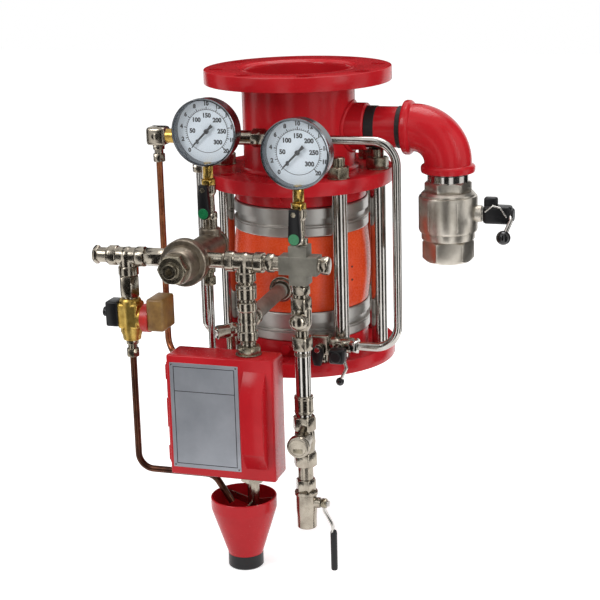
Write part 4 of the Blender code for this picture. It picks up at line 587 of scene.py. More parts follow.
drainSizes = {"z": 0.3535, "x": 0.2275, "faceX": 0.1625, "faceZ": 0.2885, "radius": 0.0350, "bead": 0.0400,
              "pipe": 0.03015, "inner": 0.02615, "bend": 0.0500, "pasteLip": 0.0014, "paste": 0.0009}
s = drainSizes
x, z = s["x"], s["z"]
pivot = Vector((x - s["bend"], 0, z - s["bend"]))
turns = [math.radians(90 - 5 * i) for i in range(19)]
arc = [pivot + s["bend"] * Vector((math.cos(a), 0, math.sin(a))) for a in turns]
way = [Vector((s["faceX"] + 0.004, 0, z)), *arc, Vector((x, 0, s["faceZ"] + 0.004))]
elbow = [bentTube(way, s["radius"], "redEnamel", 16)]
for mouth, axis in ((Vector((s["faceX"], 0, z)), right), (Vector((x, 0, s["faceZ"])), up)):
    elbow.append(turned([(s["pipe"], 0), (s["bead"] - 0.0035, 0), (s["bead"] - 0.0010, 0.0012),
                         (s["bead"], 0.0035), (s["bead"], 0.0090), (s["bead"] - 0.0014, 0.0112),
                         (s["radius"] - 0.001, 0.0135), (s["pipe"], 0.0135)],
                        "redEnamel", mouth, axis, 64))
    elbow.append(pipe(s["pipe"] + s["pasteLip"], s["inner"], 0.0030, "jointPasteAndHoleShade",
                      mouth - axis * 0.0024, axis))
assemble("drainElbowCast", elbow, ["drain_elbow"])

nipple = [pipe(s["pipe"], s["inner"], 0.0849, "redEnamel", (0.0923, 0, z), right)]
for start, length in ((0.1072, 0.0150), (0.1540, 0.0080)):
    nipple.append(pipe(s["pipe"] + s["paste"], s["inner"], length, "jointPasteAndHoleShade", (start, 0, z), right,
                       0.0005))
assemble("drainNipple", nipple, ["drain_nipple"])

ballValve = {"low": 0.1900, "top": 0.2610, "radius": 0.0435, "middle": 0.2285, "way": 0.0235,
             "hexTop": 0.0600, "hexLow": 0.0665, "ribs": (-120, -60, 60, 120)}
s = ballValve
low, top, radius = s["low"], s["top"], s["radius"]
shapes = [turned([(s["way"], low), (0.0390, low), (0.0395, low + 0.0010), (0.0395, low + 0.0105),
                  (0.0420, low + 0.0115), (radius, low + 0.0150), (radius, top - 0.0090),
                  (0.0425, top - 0.0065), (0.0400, top - 0.0058), (0.0400, top - 0.0035), (0.0365, top),
                  (s["way"], top)], "brightNickel", (x, 0, 0), steps=80),
          nut(s["hexTop"], 0.0185, "brightNickel", (x, 0, top - 0.0025), up, 15),
          pipe(drainSizes["pipe"], 0.0262, 0.0280, "drawnTube", (x, 0, 0.2740), up),
          rod(0.0125, 0.0515, "brightNickel", (x, 0, s["middle"]), right, 0.0012)]
for angle in s["ribs"]:                          # cast ribs of the body
    shapes.append(block((0.0030, 0.0030, 0.0440), "brightNickel",
                        Vector((x, 0, 0.2280)) + onCircle(radius - 0.0010, angle), spin=angle, edge=0.0012))
assemble("drainValveBody", shapes, ["drain_valve_body"])

tail = nut(s["hexLow"], 0.0335, "brightNickel", (x, 0, 0.1562), up, 15)
booleanWith(tail, "DIFFERENCE", [rod(0.0298, 0.0200, "brightNickel", (x, 0, 0.1540), up, 0, 64)])
booleanWith(tail, "DIFFERENCE", [rod(0.0232, 0.0400, "brightNickel", (x, 0, 0.1600), up, 0, 64)])
assemble("drainValveTail", [tail, pipe(0.0305, 0.0236, 0.0100, "brightNickel", (x, 0, 0.1890))],
         ["drain_valve_tailpiece"])

# locking handle: moulded hub along +X with its ear and clip, a bent steel arm and a round knob
handleSizes = {"hub": (0.0420, 0.0230, 0.0270), "ear": (0.0200, 0.0130, 0.0200), "clip": 0.0013,
               "arm": 0.0034, "knob": 0.0105}
s = handleSizes
start = Vector((x + 0.0530, 0, ballValve["middle"]))
hubEnd = start + right * s["hub"][0]
clip = [start + Vector(point) for point in ((0.004, -0.0110, 0.0050), (0.016, -0.0130, 0.0150),
                                            (0.027, -0.0128, 0.0120), (0.036, -0.0122, -0.0020))]
armTop = hubEnd + Vector((-0.003, 0, 0.002))
armMiddle = armTop + Vector((0.004, -0.016, -0.008))
knobAt = start + Vector((0.0350, -0.0300, -0.0280))
shapes = [block(s["hub"], "blackNylon", (start + hubEnd) / 2, edge=0.0050),
          block(s["ear"], "blackNylon", start + Vector((0.0110, 0, 0.0155)), edge=0.0035),
          rod(0.0098, 0.0050, "blackNylon", hubEnd - right * 0.0020, right, 0.0012),
          bentTube(clip, s["clip"], "drawnTube", 4),
          bentTube([armTop - right * 0.006, armTop, armMiddle, knobAt], s["arm"], "drawnTube", 6),
          ball(s["knob"], "blackKnob", knobAt)]
assemble("drainValveHandle", shapes, ["drain_valve_handle"])
print("drain branch done")


# small fittings of the front run

fittingSizes = {"pipe": 0.01065, "arm": 0.0270, "waist": 0.0125, "band": 0.0142, "bandLong": 0.0128,
                "mouth": 0.0112, "flats": 0.0230}


def fittingArm(centre, axis):
    # one arm of a malleable fitting, with its band round an open mouth
    s = fittingSizes
    end, start = s["arm"], s["arm"] - s["bandLong"]
    mouth = [(s["mouth"], end), (s["mouth"], end - 0.010), (0, end - 0.010)]
    return turned([(0, -0.002), (s["waist"], -0.002), (s["waist"], start - 0.0008),
                   (s["waist"] + 0.0006, start),
                   (s["band"] - 0.0003, start + 0.0008), (s["band"], start + 0.0018),
                   (s["band"], end - 0.0012),
                   (s["band"] - 0.0010, end), *mouth], "nickelPlate", centre, axis, 36)


def fittingBody(centre, axes):
    core = ball(fittingSizes["waist"] * 1.06, "nickelPlate", centre)
    return [core, *[fittingArm(centre, axis) for axis in axes]]


def threadedEnd(start, axis, length, finish="nickelPlate"):
    # pipe with a few rings of thread showing where it leaves a fitting
    shapes = [rod(fittingSizes["pipe"], length, finish, start, axis, 0.0006)]
    for index in range(3):
        shapes.append(bead(fittingSizes["pipe"] - 0.0001, 0.0005, finish,
                           start + axis * (0.0012 + index * 0.0016), axis, 32))
    return shapes


def tubeNut(face, axis, flats, finish):
    # compression fitting: body hexagon, neck and nut
    return [nut(flats, 0.0080, finish, face, axis),
            rod(flats * 0.40, 0.0180, finish, face + axis * 0.0040, axis),
            nut(flats, 0.0120, finish, face + axis * 0.0140, axis)]


smallTube = 0.0048                               # radius of the copper and drain tubes
runPlaces = {"y": -0.2850, "z": 0.2115, "stackZ": 0.1290, "leftX": -0.1620, "middleX": 0.0110,
             "columnX": 0.0890}
y, z = runPlaces["y"], runPlaces["z"]            # plane and level of the front run
leftTee, midTee = Vector((runPlaces["leftX"], y, z)), Vector((runPlaces["middleX"], y, z))
stackTee, crossAt = Vector((midTee.x, y, runPlaces["stackZ"])), Vector((runPlaces["columnX"], y, z))
pipeRadius, flats = fittingSizes["pipe"], fittingSizes["flats"]

openEnd = pipe(pipeRadius, 0.0074, 0.0270, "nickelPlate", leftTee + left * 0.0230, left, steps=36)
shapes = [*fittingBody(leftTee, (left, right, down)), openEnd,
          nut(flats, 0.0070, "nickelPlate", leftTee + left * 0.0426, left, 10, 0.0075),
          bead(pipeRadius + 0.0002, 0.0010, "nickelPlate", leftTee + left * 0.0290, left, 32),
          rod(pipeRadius, 0.0480, "nickelPlate", leftTee + right * 0.0230, right),
          nut(flats, 0.0290, "nickelPlate", leftTee + right * 0.0272, right, 0),
          rod(pipeRadius, 0.0450, "nickelPlate", leftTee + down * 0.0230, down),
          nut(0.0250, 0.0300, "nickelPlate", leftTee + down * 0.0275, down)]
assemble("leftTeeFitting", shapes, ["left_tee"])

shapes = [*fittingBody(midTee, (left, right, down)),
          *threadedEnd(midTee + left * 0.0265, left, 0.0360),
          *threadedEnd(midTee + right * 0.0265, right, 0.0345),
          nut(flats, 0.0110, "nickelPlate", midTee + right * 0.0310, right),
          *threadedEnd(midTee + down * 0.0265, down, 0.0380),
          turned([(0, 0), (0.0132, 0), (0.0142, 0.0010), (0.0142, 0.0195), (0.0132, 0.0205), (0, 0.0205)],
                 "nickelPlate", midTee + down * 0.0310, down, 36),
          bead(0.0138, 0.0010, "nickelPlate", midTee + down * 0.0360, down, 36)]
assemble("midTeeFitting", shapes, ["mid_tee"])

crossSizes = {"arm": 0.0270, "width": 0.0254, "edge": 0.0007}
s = crossSizes
shapes = [block((2 * s["arm"], s["width"], s["width"]), "blastedSteel", crossAt, edge=s["edge"]),
          block((s["width"], s["width"] - 0.0001, 2 * s["arm"]), "blastedSteel", crossAt, edge=s["edge"]),
          rod(pipeRadius, 0.0050, "nickelPlate", crossAt + right * 0.0260, right),
          nut(0.0220, 0.0110, "nickelPlate", crossAt + right * 0.0300, right)]
for axis in (left, up, down):
    shapes.append(bead(0.0112, 0.0006, "blastedSteel", crossAt + axis * 0.0270, axis, 36))
assemble("crossBlock", shapes, ["cross"])

# relay: cast rear body, bonnet with screws, hexagon cap and its port
relaySizes = {"rear": 0.0205, "flange": 0.0328, "boss": 0.0150, "screws": 0.0280, "chamber": 0.0126}
s = relaySizes
relayAt = Vector((-0.069, y, z))
valveAt = Vector((-0.069, -0.206, z))
dropAt = Vector((-0.066, -0.223, z))
shapes = [turned([(0, -0.0950), (s["rear"] - 0.0020, -0.0950), (s["rear"], -0.0930), (s["rear"], 0.0060),
                  (s["rear"] + 0.002, 0.0105), (s["flange"] - 0.0010, 0.0125), (s["flange"], 0.0135),
                  (s["flange"], 0.0168), (0, 0.0168)], "castGunmetal", relayAt, front, 56),
          turned([(0.0211, 0), (0.0226, 0.0010), (0.0226, 0.0060), (0.0211, 0.0070)], "castGunmetal",
                 relayAt + back * 0.0940, front, 56),
          rod(s["boss"], 0.0530, "castGunmetal", relayAt + left * 0.0265, right, 0.0015),
          rod(s["boss"], 0.0265, "castGunmetal", valveAt, up, 0.0015),
          rod(0.0120, 0.0265, "castGunmetal", dropAt, down, 0.0015)]
for shape in (shapes[0], shapes[2]):          # room for the piston
    booleanWith(shape, "DIFFERENCE", [rod(s["chamber"], 0.0530, "castGunmetal", relayAt + back * 0.0330,
                                          front, 0)])
foot = dropAt + down * 0.0255
tubeEnd = Vector((dropAt.x, -0.2797, 0.0480))
shapes += tubeNut(foot, down, 0.0165, "zincSteel")
route = roundedRoute([dropAt + down * 0.0445, Vector((dropAt.x, dropAt.y, tubeEnd.z)), tubeEnd], 0.0180)
shapes.append(bentTube(route, smallTube, "drawnTube"))
assemble("relayRearBody", shapes, ["relay_body"])

shapes = [turned([(0, 0.0173), (s["flange"], 0.0173), (s["flange"], 0.0258), (s["flange"] - 0.0014, 0.0272),
                  (0.0252, 0.0273), (0.0244, 0.0310), (0.0238, 0.0480), (0.0224, 0.0522), (0.0205, 0.0530),
                  (0, 0.0530)],
                 "castGunmetal", relayAt, front, 56),
          nut(0.0370, 0.0180, "zincSteel", relayAt + front * 0.0520, front, 0),
          turned([(0, 0.068), (0.0120, 0.068), (0.0120, 0.0712), (0.0102, 0.0716), (0.0102, 0.0772),
                  (0.0094, 0.0780),
                  (0.0052, 0.0780), (0.0052, 0.0620), (0, 0.0620)], "zincSteel", relayAt, front, 40)]
chamber = rod(s["chamber"], 0.0253, "castGunmetal", relayAt + front * 0.0140, front, 0)
booleanWith(shapes[0], "DIFFERENCE", [chamber])
for angle in (45, 135, 225, 315):
    side = s["screws"] * Vector((math.cos(math.radians(angle)), 0, math.sin(math.radians(angle))))
    face = relayAt + side + front * 0.0268
    screw = rod(0.0040, 0.0075, "zincSteel", face, front, 0.0006, 24)
    booleanWith(screw, "DIFFERENCE", [nut(0.0038, 0.0040, "zincSteel", face + front * 0.0050, front)])
    shapes.append(screw)
assemble("relayBonnetCast", shapes, ["relay_bonnet"])

# control port: boss on the barrel, nipple, and the stack down to the box
out = Vector((stackTee.x, y, 0)).normalized()
level = up * stackTee.z
shapes = [turned([(0, 0.1050), (0.0190, 0.1050), (0.0190, 0.1160), (0.0182, 0.1168), (0.0162, 0.1170),
                  (0.0155, 0.1205), (0.0148, 0.1210), (0, 0.1210)], "nickelPlate", level, out, 48),
          bead(0.0140, 0.0014, "nickelPlate", level + out * 0.1212, out, 48),
          rod(pipeRadius, 0.1460, "dullSteel", level + out * 0.1220, out)]
for index in range(4):
    shapes.append(bead(pipeRadius, 0.0006, "dullSteel", level + out * (0.1250 + 0.0018 * index), out, 32))
assemble("portNipple", shapes, ["port_nipple"])

shapes = [*fittingBody(stackTee, (up, -out, down)), *threadedEnd(stackTee + down * 0.0265, down, 0.0390),
          nut(0.0310, 0.0130, "zincSteel", stackTee + down * 0.0352, down),
          rod(0.0182, 0.0016, "zincSteel", stackTee + down * 0.0464, down)]
assemble("stackTeeFitting", shapes, ["stack_tee"])
print("front run done")


# column under the cross

columnSizes = {"checkFlats": 0.0260, "strainFlats": 0.0290, "testFlats": 0.0250}
s = columnSizes
at = lambda level: Vector((crossAt.x, y, level))
shapes = [rod(pipeRadius, 0.0300, "nickelPlate", at(0.1640), up),
          nut(flats, 0.0120, "nickelPlate", at(0.1705)),
          nut(s["checkFlats"], 0.0180, "nickelPlate", at(0.1485)),
          nut(s["checkFlats"], 0.0190, "nickelPlate", at(0.0925)),
          turned([(0, 0.1020), (0.0095, 0.1020), (0.0095, 0.1200), (0.0112, 0.1225), (0.0138, 0.1290),
                  (0.0138, 0.1500), (0.0100, 0.1550), (0, 0.1550)], "nickelPlate", at(0), up, 40),
          rod(0.0115, 0.0180, "nickelPlate", at(0.1355), front, 0.0010),
          ball(0.0123, "nickelPlate", at(0.1355) + front * 0.0150)]
assemble("checkValveBody", shapes, ["check_valve"])

shapes = [rod(pipeRadius, 0.1120, "drawnTube", at(-0.0090), up),
          rod(0.0132, 0.0260, "nickelPlate", at(0.0013), up, 0.0010),
          bead(0.0128, 0.0009, "nickelPlate", at(0.0050)), bead(0.0128, 0.0009, "nickelPlate", at(0.0236))]
for index in range(3):
    shapes.append(bead(pipeRadius, 0.0006, "nickelPlate", at(0.0885 - 0.0018 * index), up, 32))
assemble("lowerPipeLength", shapes, ["lower_pipe"])

slant = Vector((0.05, -1.00, -0.06)).normalized()
root = at(-0.0335)
shapes = [nut(s["strainFlats"], 0.0200, "nickelPlate", at(-0.0227)),
          nut(s["strainFlats"], 0.0210, "nickelPlate", at(-0.0748)),
          turned([(0, -0.0700), (0.0125, -0.0700), (0.0140, -0.0480), (0.0150, -0.0400), (0.0140, -0.0260),
                  (0.0125, -0.0200), (0, -0.0200)], "nickelPlate", at(0), up, 40),
          rod(0.0130, 0.0288, "nickelPlate", root, slant, 0.0008),
          rod(pipeRadius, 0.0320, "nickelPlate", at(-0.1030), up)]
assemble("strainerBodyCast", shapes, ["strainer_body"])
cap = root + slant * 0.0293
shapes = [turned([(0, 0), (0.0156, 0), (0.0160, 0.0010), (0.0160, 0.0070), (0.0150, 0.0090), (0.0120, 0.0096),
                  (0, 0.0096)], "nickelPlate", cap, slant, 40),
          bead(0.0120, 0.0004, "nickelPlate", cap + slant * 0.0095, slant, 40),
          block((0.0130, 0.0012, 0.0060), "zincSteel", cap + slant * 0.0094 + down * 0.0048, edge=0.0004)]
assemble("strainerCapRound", shapes, ["strainer_cap"])

shapes = [nut(s["testFlats"], 0.0190, "nickelPlate", at(-0.1130)),
          turned([(0.0107, -0.1660), (0.0128, -0.1660), (0.0135, -0.1650), (0.0138, -0.1480),
                  (0.0145, -0.1410),
                  (0.0145, -0.1180), (0.0163, -0.1168), (0.0163, -0.1130), (0.0155, -0.1120),
                  (0.0107, -0.1120)],
                 "nickelPlate", at(0), up, 48),
          rod(0.0075, 0.0208, "nickelPlate", at(-0.1290), right, 0.0008),
          nut(0.0115, 0.0050, "nickelPlate", at(-0.1290) + right * 0.0160, right)]
assemble("testValveBody", shapes, ["test_valve_body"])

leverSizes = {"start": 0.1115, "drop": 0.0990, "strip": (0.0026, 0.0085), "grip": 0.0048}
s = leverSizes
start = Vector((s["start"], y, -0.1290))
stripPath = [(0.0030, 0.0050), (0.0030, -0.0100), (0.0130, -0.0280), (0.0150, -0.0340), (0.0160, -0.0910)]
half = s["strip"][0] / 2
outline = [(a + half, b) for a, b in stripPath] + [(a - half, b) for a, b in stripPath[::-1]]
strip = plate(outline, s["strip"][1], "drawnTube", start, front)
shapes = [nut(0.0130, 0.0070, "zincSteel", start, right), strip,
          rod(0.0055, 0.0020, "zincSteel", start - right * 0.0010, right),
          turned([(0, 0), (0.0030, 0), (0.0044, 0.0008), (s["grip"], 0.0030), (s["grip"], 0.0560),
                  (0.0042, 0.0590), (0.0030, 0.0600), (0, 0.0600)], "blackNylon",
                 start + Vector((0.0160, 0, -s["drop"])), up, 24)]
assemble("testValveLever", shapes, ["test_valve_lever"])
print("column done")


# gauges

gaugeSizes = {"radius": 0.0475, "bezel": 0.0032, "front": 0.0120, "floor": -0.0045, "depth": 0.0300,
              "window": 0.0030, "ink": 0.0002}
dialSizes = {"start": 225, "sweep": 270, "strokes": 51, "arc": 0.0298, "line": 0.0007,
             "long": (0.0042, 0.0012), "short": (0.0026, 0.0006),
             "inner": (7, 50, 0.0218, 0.0085), "outer": (11, 2, 0.0384, 0.0078)}
gaugePlaces = {"left": Vector((-0.069, -0.206, 0.3745)), "right": Vector((0.089, -0.285, 0.3625))}
valvePlaces = {"left": (0.2960, 0.2380), "right": (0.2840, 0.2385)}      # levels of pivot and seat


def scaleAngle(index, count):
    return math.radians(dialSizes["start"] - dialSizes["sweep"] * index / (count - 1))


def scaleTicks(centre, inkY):
    # printed strokes, every fifth one longer and bolder
    s = dialSizes
    shapes = []
    for index in range(s["strokes"]):
        angle = scaleAngle(index, s["strokes"])
        length, width = s["short"] if index % 5 else s["long"]
        reach = s["arc"] + length / 2
        place = Vector((centre.x + reach * math.cos(angle), inkY - 0.0001,
                        centre.z + reach * math.sin(angle)))
        stroke = block((length, width, gaugeSizes["ink"]), "dialInk", edge=0)
        stroke.data.transform(Matrix.Translation(place) @ Matrix.Rotation(math.pi / 2, 4, "X")
                              @ Matrix.Rotation(angle, 4, "Z"))
        shapes.append(stroke)
    return shapes


def scaleFigures(centre, inkY, count, each, ring, size):
    shapes = []
    for index in range(count):
        angle = scaleAngle(index, count)
        place = Vector((centre.x + ring * math.cos(angle), inkY - 0.0001,
                        centre.z + ring * math.sin(angle)))
        shapes.append(figures(str(index * each), size, place, "dialInk"))
    return shapes


def gauge(side):
    s, centre, pivotZ = gaugeSizes, gaugePlaces[side], valvePlaces[side][0]
    rim, floor, face, ink = s["radius"], s["floor"], s["front"], s["ink"]
    well, rear = rim - s["bezel"], face - s["depth"]
    case = turned([(0, rear), (rim - 0.0030, rear), (rim - 0.0018, rear + 0.0012),
                   (rim - 0.0018, face - 0.0085), (rim - 0.0006, face - 0.0080), (rim, face - 0.0070),
                   (rim, face - 0.0016), (rim - 0.0012, face - 0.0002), (rim - 0.0026, face),
                   (well, face - 0.0010), (well, floor), (0, floor)], "gaugeRim", centre, front, 80)
    before = lambda depth: centre + front * depth
    dial = rod(well - 0.0002, ink, "dialWhite", before(floor), front, 0, 80)
    window = rod(well - 0.0002, 0.0008, "clearAcrylic", before(face - s["window"]), front, 0, 64)
    inkY = centre.y - floor - ink
    arc, line = dialSizes["arc"], dialSizes["line"]
    marks = [*scaleTicks(centre, inkY),
             turned([(arc, 0), (arc + line, 0), (arc + line, ink), (arc, ink)], "dialInk",
                    before(floor + ink), front, 80),
             *scaleFigures(centre, inkY, *dialSizes["inner"]),
             *scaleFigures(centre, inkY, *dialSizes["outer"])]
    low, high = pivotZ + 0.0123, centre.z - rim
    pivot = lambda level: Vector((centre.x, centre.y, level))
    stem = [nut(0.0140, high - low + 0.0004, "machinedBrass", pivot(low)),
            rod(0.0060, 0.0080, "machinedBrass", pivot(low - 0.0070), up),
            rod(0.0056, 0.0060, "machinedBrass", pivot(high - 0.0016), up)]
    assemble(side + "GaugeCase", [case, dial, window, *marks, *stem], [side + "_gauge_case"])
    turn = math.radians(dialSizes["start"])
    pointer = [(-0.0120, -0.0026), (-0.0060, -0.0016), (0.0270, -0.0011), (0.0320, 0), (0.0270, 0.0011),
               (-0.0060, 0.0016), (-0.0120, 0.0026)]
    pointer = [(a * math.cos(turn) - b * math.sin(turn), a * math.sin(turn) + b * math.cos(turn))
               for a, b in pointer]
    needle = floor + 0.0041
    shapes = [plate(pointer, 0.0008, "blackNylon", before(needle), front, 0.0001),
              rod(0.0035, 0.0022, "blackNylon", before(needle - 0.0010), front, 0.0004),
              rod(0.0013, 0.0090, "blackNylon", before(needle - 0.0088), front, 0, 16)]
    assemble(side + "GaugeNeedle", shapes, [side + "_gauge_needle"])


def gaugeValve(side):
    # body with its nuts, then the flat capped lever that hangs from the pivot
    pivotZ, seat = valvePlaces[side]
    at = lambda level: Vector((gaugePlaces[side].x, gaugePlaces[side].y, level))
    pivot, low = at(pivotZ), pivotZ - 0.0452
    shapes = [turned([(0, low), (0.0080, low), (0.0080, pivotZ - 0.012), (0.0096, pivotZ - 0.0095),
                      (0.0110, pivotZ - 0.0060), (0.0110, pivotZ + 0.0030), (0.0100, pivotZ + 0.0040),
                      (0, pivotZ + 0.0040)], "nickelPlate", at(0), up, 40),
              nut(0.0190, 0.0090, "machinedBrass", at(pivotZ + 0.0030)),
              nut(0.0210, 0.0100, "nickelPlate", at(low)),
              rod(pipeRadius, low - seat + 0.0105, "nickelPlate", at(seat - 0.0097), up),
              rod(0.0062, 0.0144, "nickelPlate", pivot, front)]
    for index in range(4):
        shapes.append(bead(0.0080, 0.0006, "nickelPlate", at(low + 0.0130 + 0.0020 * index), up, 32))
    assemble(side + "GaugeValve", shapes, [side + "_gauge_valve"])
    half, reach = 0.00875, 0.0420
    end = half - reach
    outline = [(-half * 0.75, 0.0070), (half * 0.75, 0.0070)]
    turns = [-math.pi * i / 16 for i in range(17)]
    outline += [(half * math.cos(a), end + half * math.sin(a)) for a in turns]
    disc = pivot + front * 0.0238 + up * end
    shapes = [plate(outline, 0.0088, "blackNylon", pivot + front * 0.0195, front, 0.0014),
              rod(half * 0.86, 0.0012, "greenLacquer", disc, front, 0.0003, 40),
              rod(0.0030, 0.0162, "zincSteel", pivot + front * 0.001, front, 0.0004, 20),
              nut(0.0065, 0.0009, "zincSteel", pivot + front * 0.0238, front)]
    assemble(side + "GaugeLever", shapes, [side + "_gauge_lever"])


for side in ("left", "right"):
    gauge(side)
for side in ("left", "right"):
    gaugeValve(side)
print("gauges done")


# supply tubing

supplySizes = {"y": -0.1100, "z": 0.3510, "elbowX": -0.1820, "teeX": -0.1180, "tube": 0.00635, "bend": 0.0350,
               "dropX": 0.1780, "lowZ": 0.0480}
s = supplySizes
line = lambda x, level=s["z"]: Vector((x, s["y"], level))
tee, elbowAt = line(s["teeX"]), line(s["elbowX"])
seat = onCircle(flangeSizes["circle"], -135)
towards = Vector((seat.x - s["teeX"], seat.y - s["y"], 0)).normalized()
footLevel = 0.0520
foot = seat + up * footLevel
rear = bentTube(roundedRoute([tee + down * 0.0403, line(s["teeX"], footLevel), foot - towards * 0.0100],
                             0.0220),
                s["tube"], "drawnTube")
shapes = [block((0.0300, 0.0260, 0.0270), "nickelPlate", elbowAt, edge=0.0050),
          ball(0.0140, "nickelPlate", elbowAt), *fittingBody(tee, (left, right, down)),
          *threadedEnd(tee + left * 0.0265, left, 0.0240, "machinedBrass"),
          *threadedEnd(tee + right * 0.0265, right, 0.0580),
          nut(0.0240, 0.0210, "nickelPlate", line(-0.0350), right),
          *tubeNut(line(-0.0150), right, 0.0210, "drawnTube"),
          *tubeNut(elbowAt + down * 0.0125, down, 0.0165, "nickelPlate"),
          *tubeNut(tee + down * 0.0260, down, 0.0210, "nickelPlate"), rear,
          rod(0.0105, 0.0260, "nickelPlate", foot, -towards), ball(0.0125, "nickelPlate", foot),
          rod(0.0110, footLevel - 0.0213, "nickelPlate", seat + up * 0.0213, up)]
assemble("supplyManifoldFittings", shapes, ["supply_manifold"])

route = roundedRoute([line(-0.0007), line(s["dropX"]), line(s["dropX"], s["lowZ"]), line(0.1068, s["lowZ"])],
                     s["bend"])
assemble("supplyTubeSteel", [bentTube(route, s["tube"], "drawnTube", 10)], ["supply_tube"])
boxBack = -0.2640
route = roundedRoute([elbowAt + down * 0.0268, line(s["elbowX"], 0.0200),
                      Vector((-0.0854, (s["y"] + boxBack) / 2, 0.0200)),
                      Vector((-0.0854, boxBack + 0.0003, 0.0200))], 0.0250)
assemble("leftTubeCopper", [bentTube(route, smallTube, "dullCopper")], ["left_copper_tube"])

portX, blockFace, valveFace = 0.0620, 0.0765, 0.1065
ballX = (blockFace + valveFace) / 2
shapes = [block((0.0290, 0.0230, 0.0300), "nickelPlate", line(portX, s["lowZ"]), edge=0.0035),
          rod(pipeRadius, 0.0380, "nickelPlate", line(portX, 0.0113), up),
          nut(0.0200, 0.0090, "nickelPlate", line(portX, 0.0213)),
          turned([(0, 0), (0.0112, 0), (0.0115, 0.0010), (0.0115, 0.0100), (0.0105, 0.0120), (0.0105, 0.0180),
                  (0.0115, 0.0200),
                  (0.0115, 0.0300), (0, 0.0300)], "nickelPlate", line(blockFace, s["lowZ"]), right, 36),
          nut(0.0210, 0.0076, "nickelPlate", line(blockFace, s["lowZ"]), right),
          rod(0.0070, 0.0168, "nickelPlate", line(ballX, s["lowZ"]), front),
          nut(0.0210, 0.0130, "drawnTube", line(valveFace - 0.0010, s["lowZ"]), right),
          rod(0.0060, 0.0188, "nickelPlate", line(portX, 0.0450), front)]
assemble("supplyValveBody", shapes, ["supply_valve_body"])

start = line(ballX, s["lowZ"]) + front * 0.0190
knob = start + Vector((0.0060, -0.0100, -0.0470))
shapes = [block((0.0240, 0.0200, 0.0220), "blackNylon", start + Vector((0.003, -0.0100, -0.008)),
                edge=0.0045),
          rod(0.0080, 0.0040, "blackNylon", start + Vector((0.0030, -0.0185, -0.0080)), front, 0.0010),
          rod(0.0033, 0.0240, "drawnTube", start + back * 0.0200, front),
          bentTube([start + Vector((0.012, -0.010, -0.012)), start + Vector((0.016, -0.010, -0.026)), knob],
                   0.0026,
                   "drawnTube", 6),
          ball(0.0063, "blackKnob", knob)]
assemble("supplyValveHandle", shapes, ["supply_valve_handle"])

bleed = line(portX, 0.0450)
wing = [(-0.0080, 0.0030), (0.0080, 0.0030), (0.0095, -0.0070), (0.0050, -0.0240), (-0.0050, -0.0240),
        (-0.0095, -0.0070)]
shapes = [plate(wing, 0.0058, "blackNylon", bleed + front * 0.0225, front, 0.0012),
          rod(0.0027, 0.0160, "drawnTube", bleed + front * 0.0050, front),
          rod(0.0042, 0.0010, "drawnTube", bleed + front * 0.0250, front, 0.0003)]
assemble("bleedWing", shapes, ["bleed_handle"])
print("supply tubing done")


# solenoid

solenoidSizes = {"x": -0.1620, "top": 0.1515, "bottom": 0.0915, "middle": 0.1235,
                 "core": (0.0310, 0.0300, 0.0372)}
s = solenoidSizes
at = lambda level: Vector((s["x"], y, level))
shapes = [block(s["core"], "castBrass", at(s["middle"] + 0.0040), edge=0.0045),
          turned([(0, s["bottom"]), (0.0118, s["bottom"]), (0.0125, s["bottom"] + 0.0008),
                  (0.0132, s["bottom"] + 0.0060),
                  (0.0155, s["bottom"] + 0.0120), (0.0155, s["top"] - 0.0035), (0.0148, s["top"] - 0.0020),
                  (0.0135, s["top"]), (0, s["top"])], "castBrass", at(0), up, 40),
          rod(0.0150, 0.0188, "castBrass", at(s["middle"]), right, 0.0010),
          nut(0.0270, 0.0080, "machinedBrass", at(s["top"] - 0.0090)),
          block((0.0190, 0.0290, 0.0360), "blackNylon", at(s["middle"] + 0.0060) + left * 0.0235,
                edge=0.0028),
          block((0.0020, 0.0230, 0.0300), "blackNylon", at(s["middle"] + 0.0060) + left * 0.0325,
                edge=0.0008),
          rod(0.0070, 0.0098, "blackNylon", at(s["middle"] + 0.0060) + left * 0.0310, left, 0.0010),
          *tubeNut(at(s["bottom"] + 0.0010), down, 0.0165, "zincSteel")]
tubeLow = -0.1010
route = roundedRoute([at(s["bottom"] - 0.0153), at(tubeLow), Vector((-0.0470, y, tubeLow)),
                      Vector((-0.0220, y, -0.1400))], 0.0220)
shapes.append(bentTube(route, smallTube, "brownCopper"))
assemble("solenoidBodyCast", shapes, ["solenoid_body"])

face = s["x"] + 0.0193
coilAt = Vector((face + 0.0230, y + 0.0060, s["middle"] + 0.0080))
shapes = [rod(0.0200, 0.0115, "redNylon", Vector((face, y, s["middle"])), right, 0.0012, 48),
          bead(0.0150, 0.0012, "machinedBrass", Vector((face + 0.0005, y, s["middle"])), right, 48),
          block((0.0250, 0.0440, 0.0460), "brownPhenolic", coilAt, edge=0.0032)]
assemble("solenoidCoilMoulded", shapes, ["solenoid_coil"])
print("solenoid done")


# release box and funnel

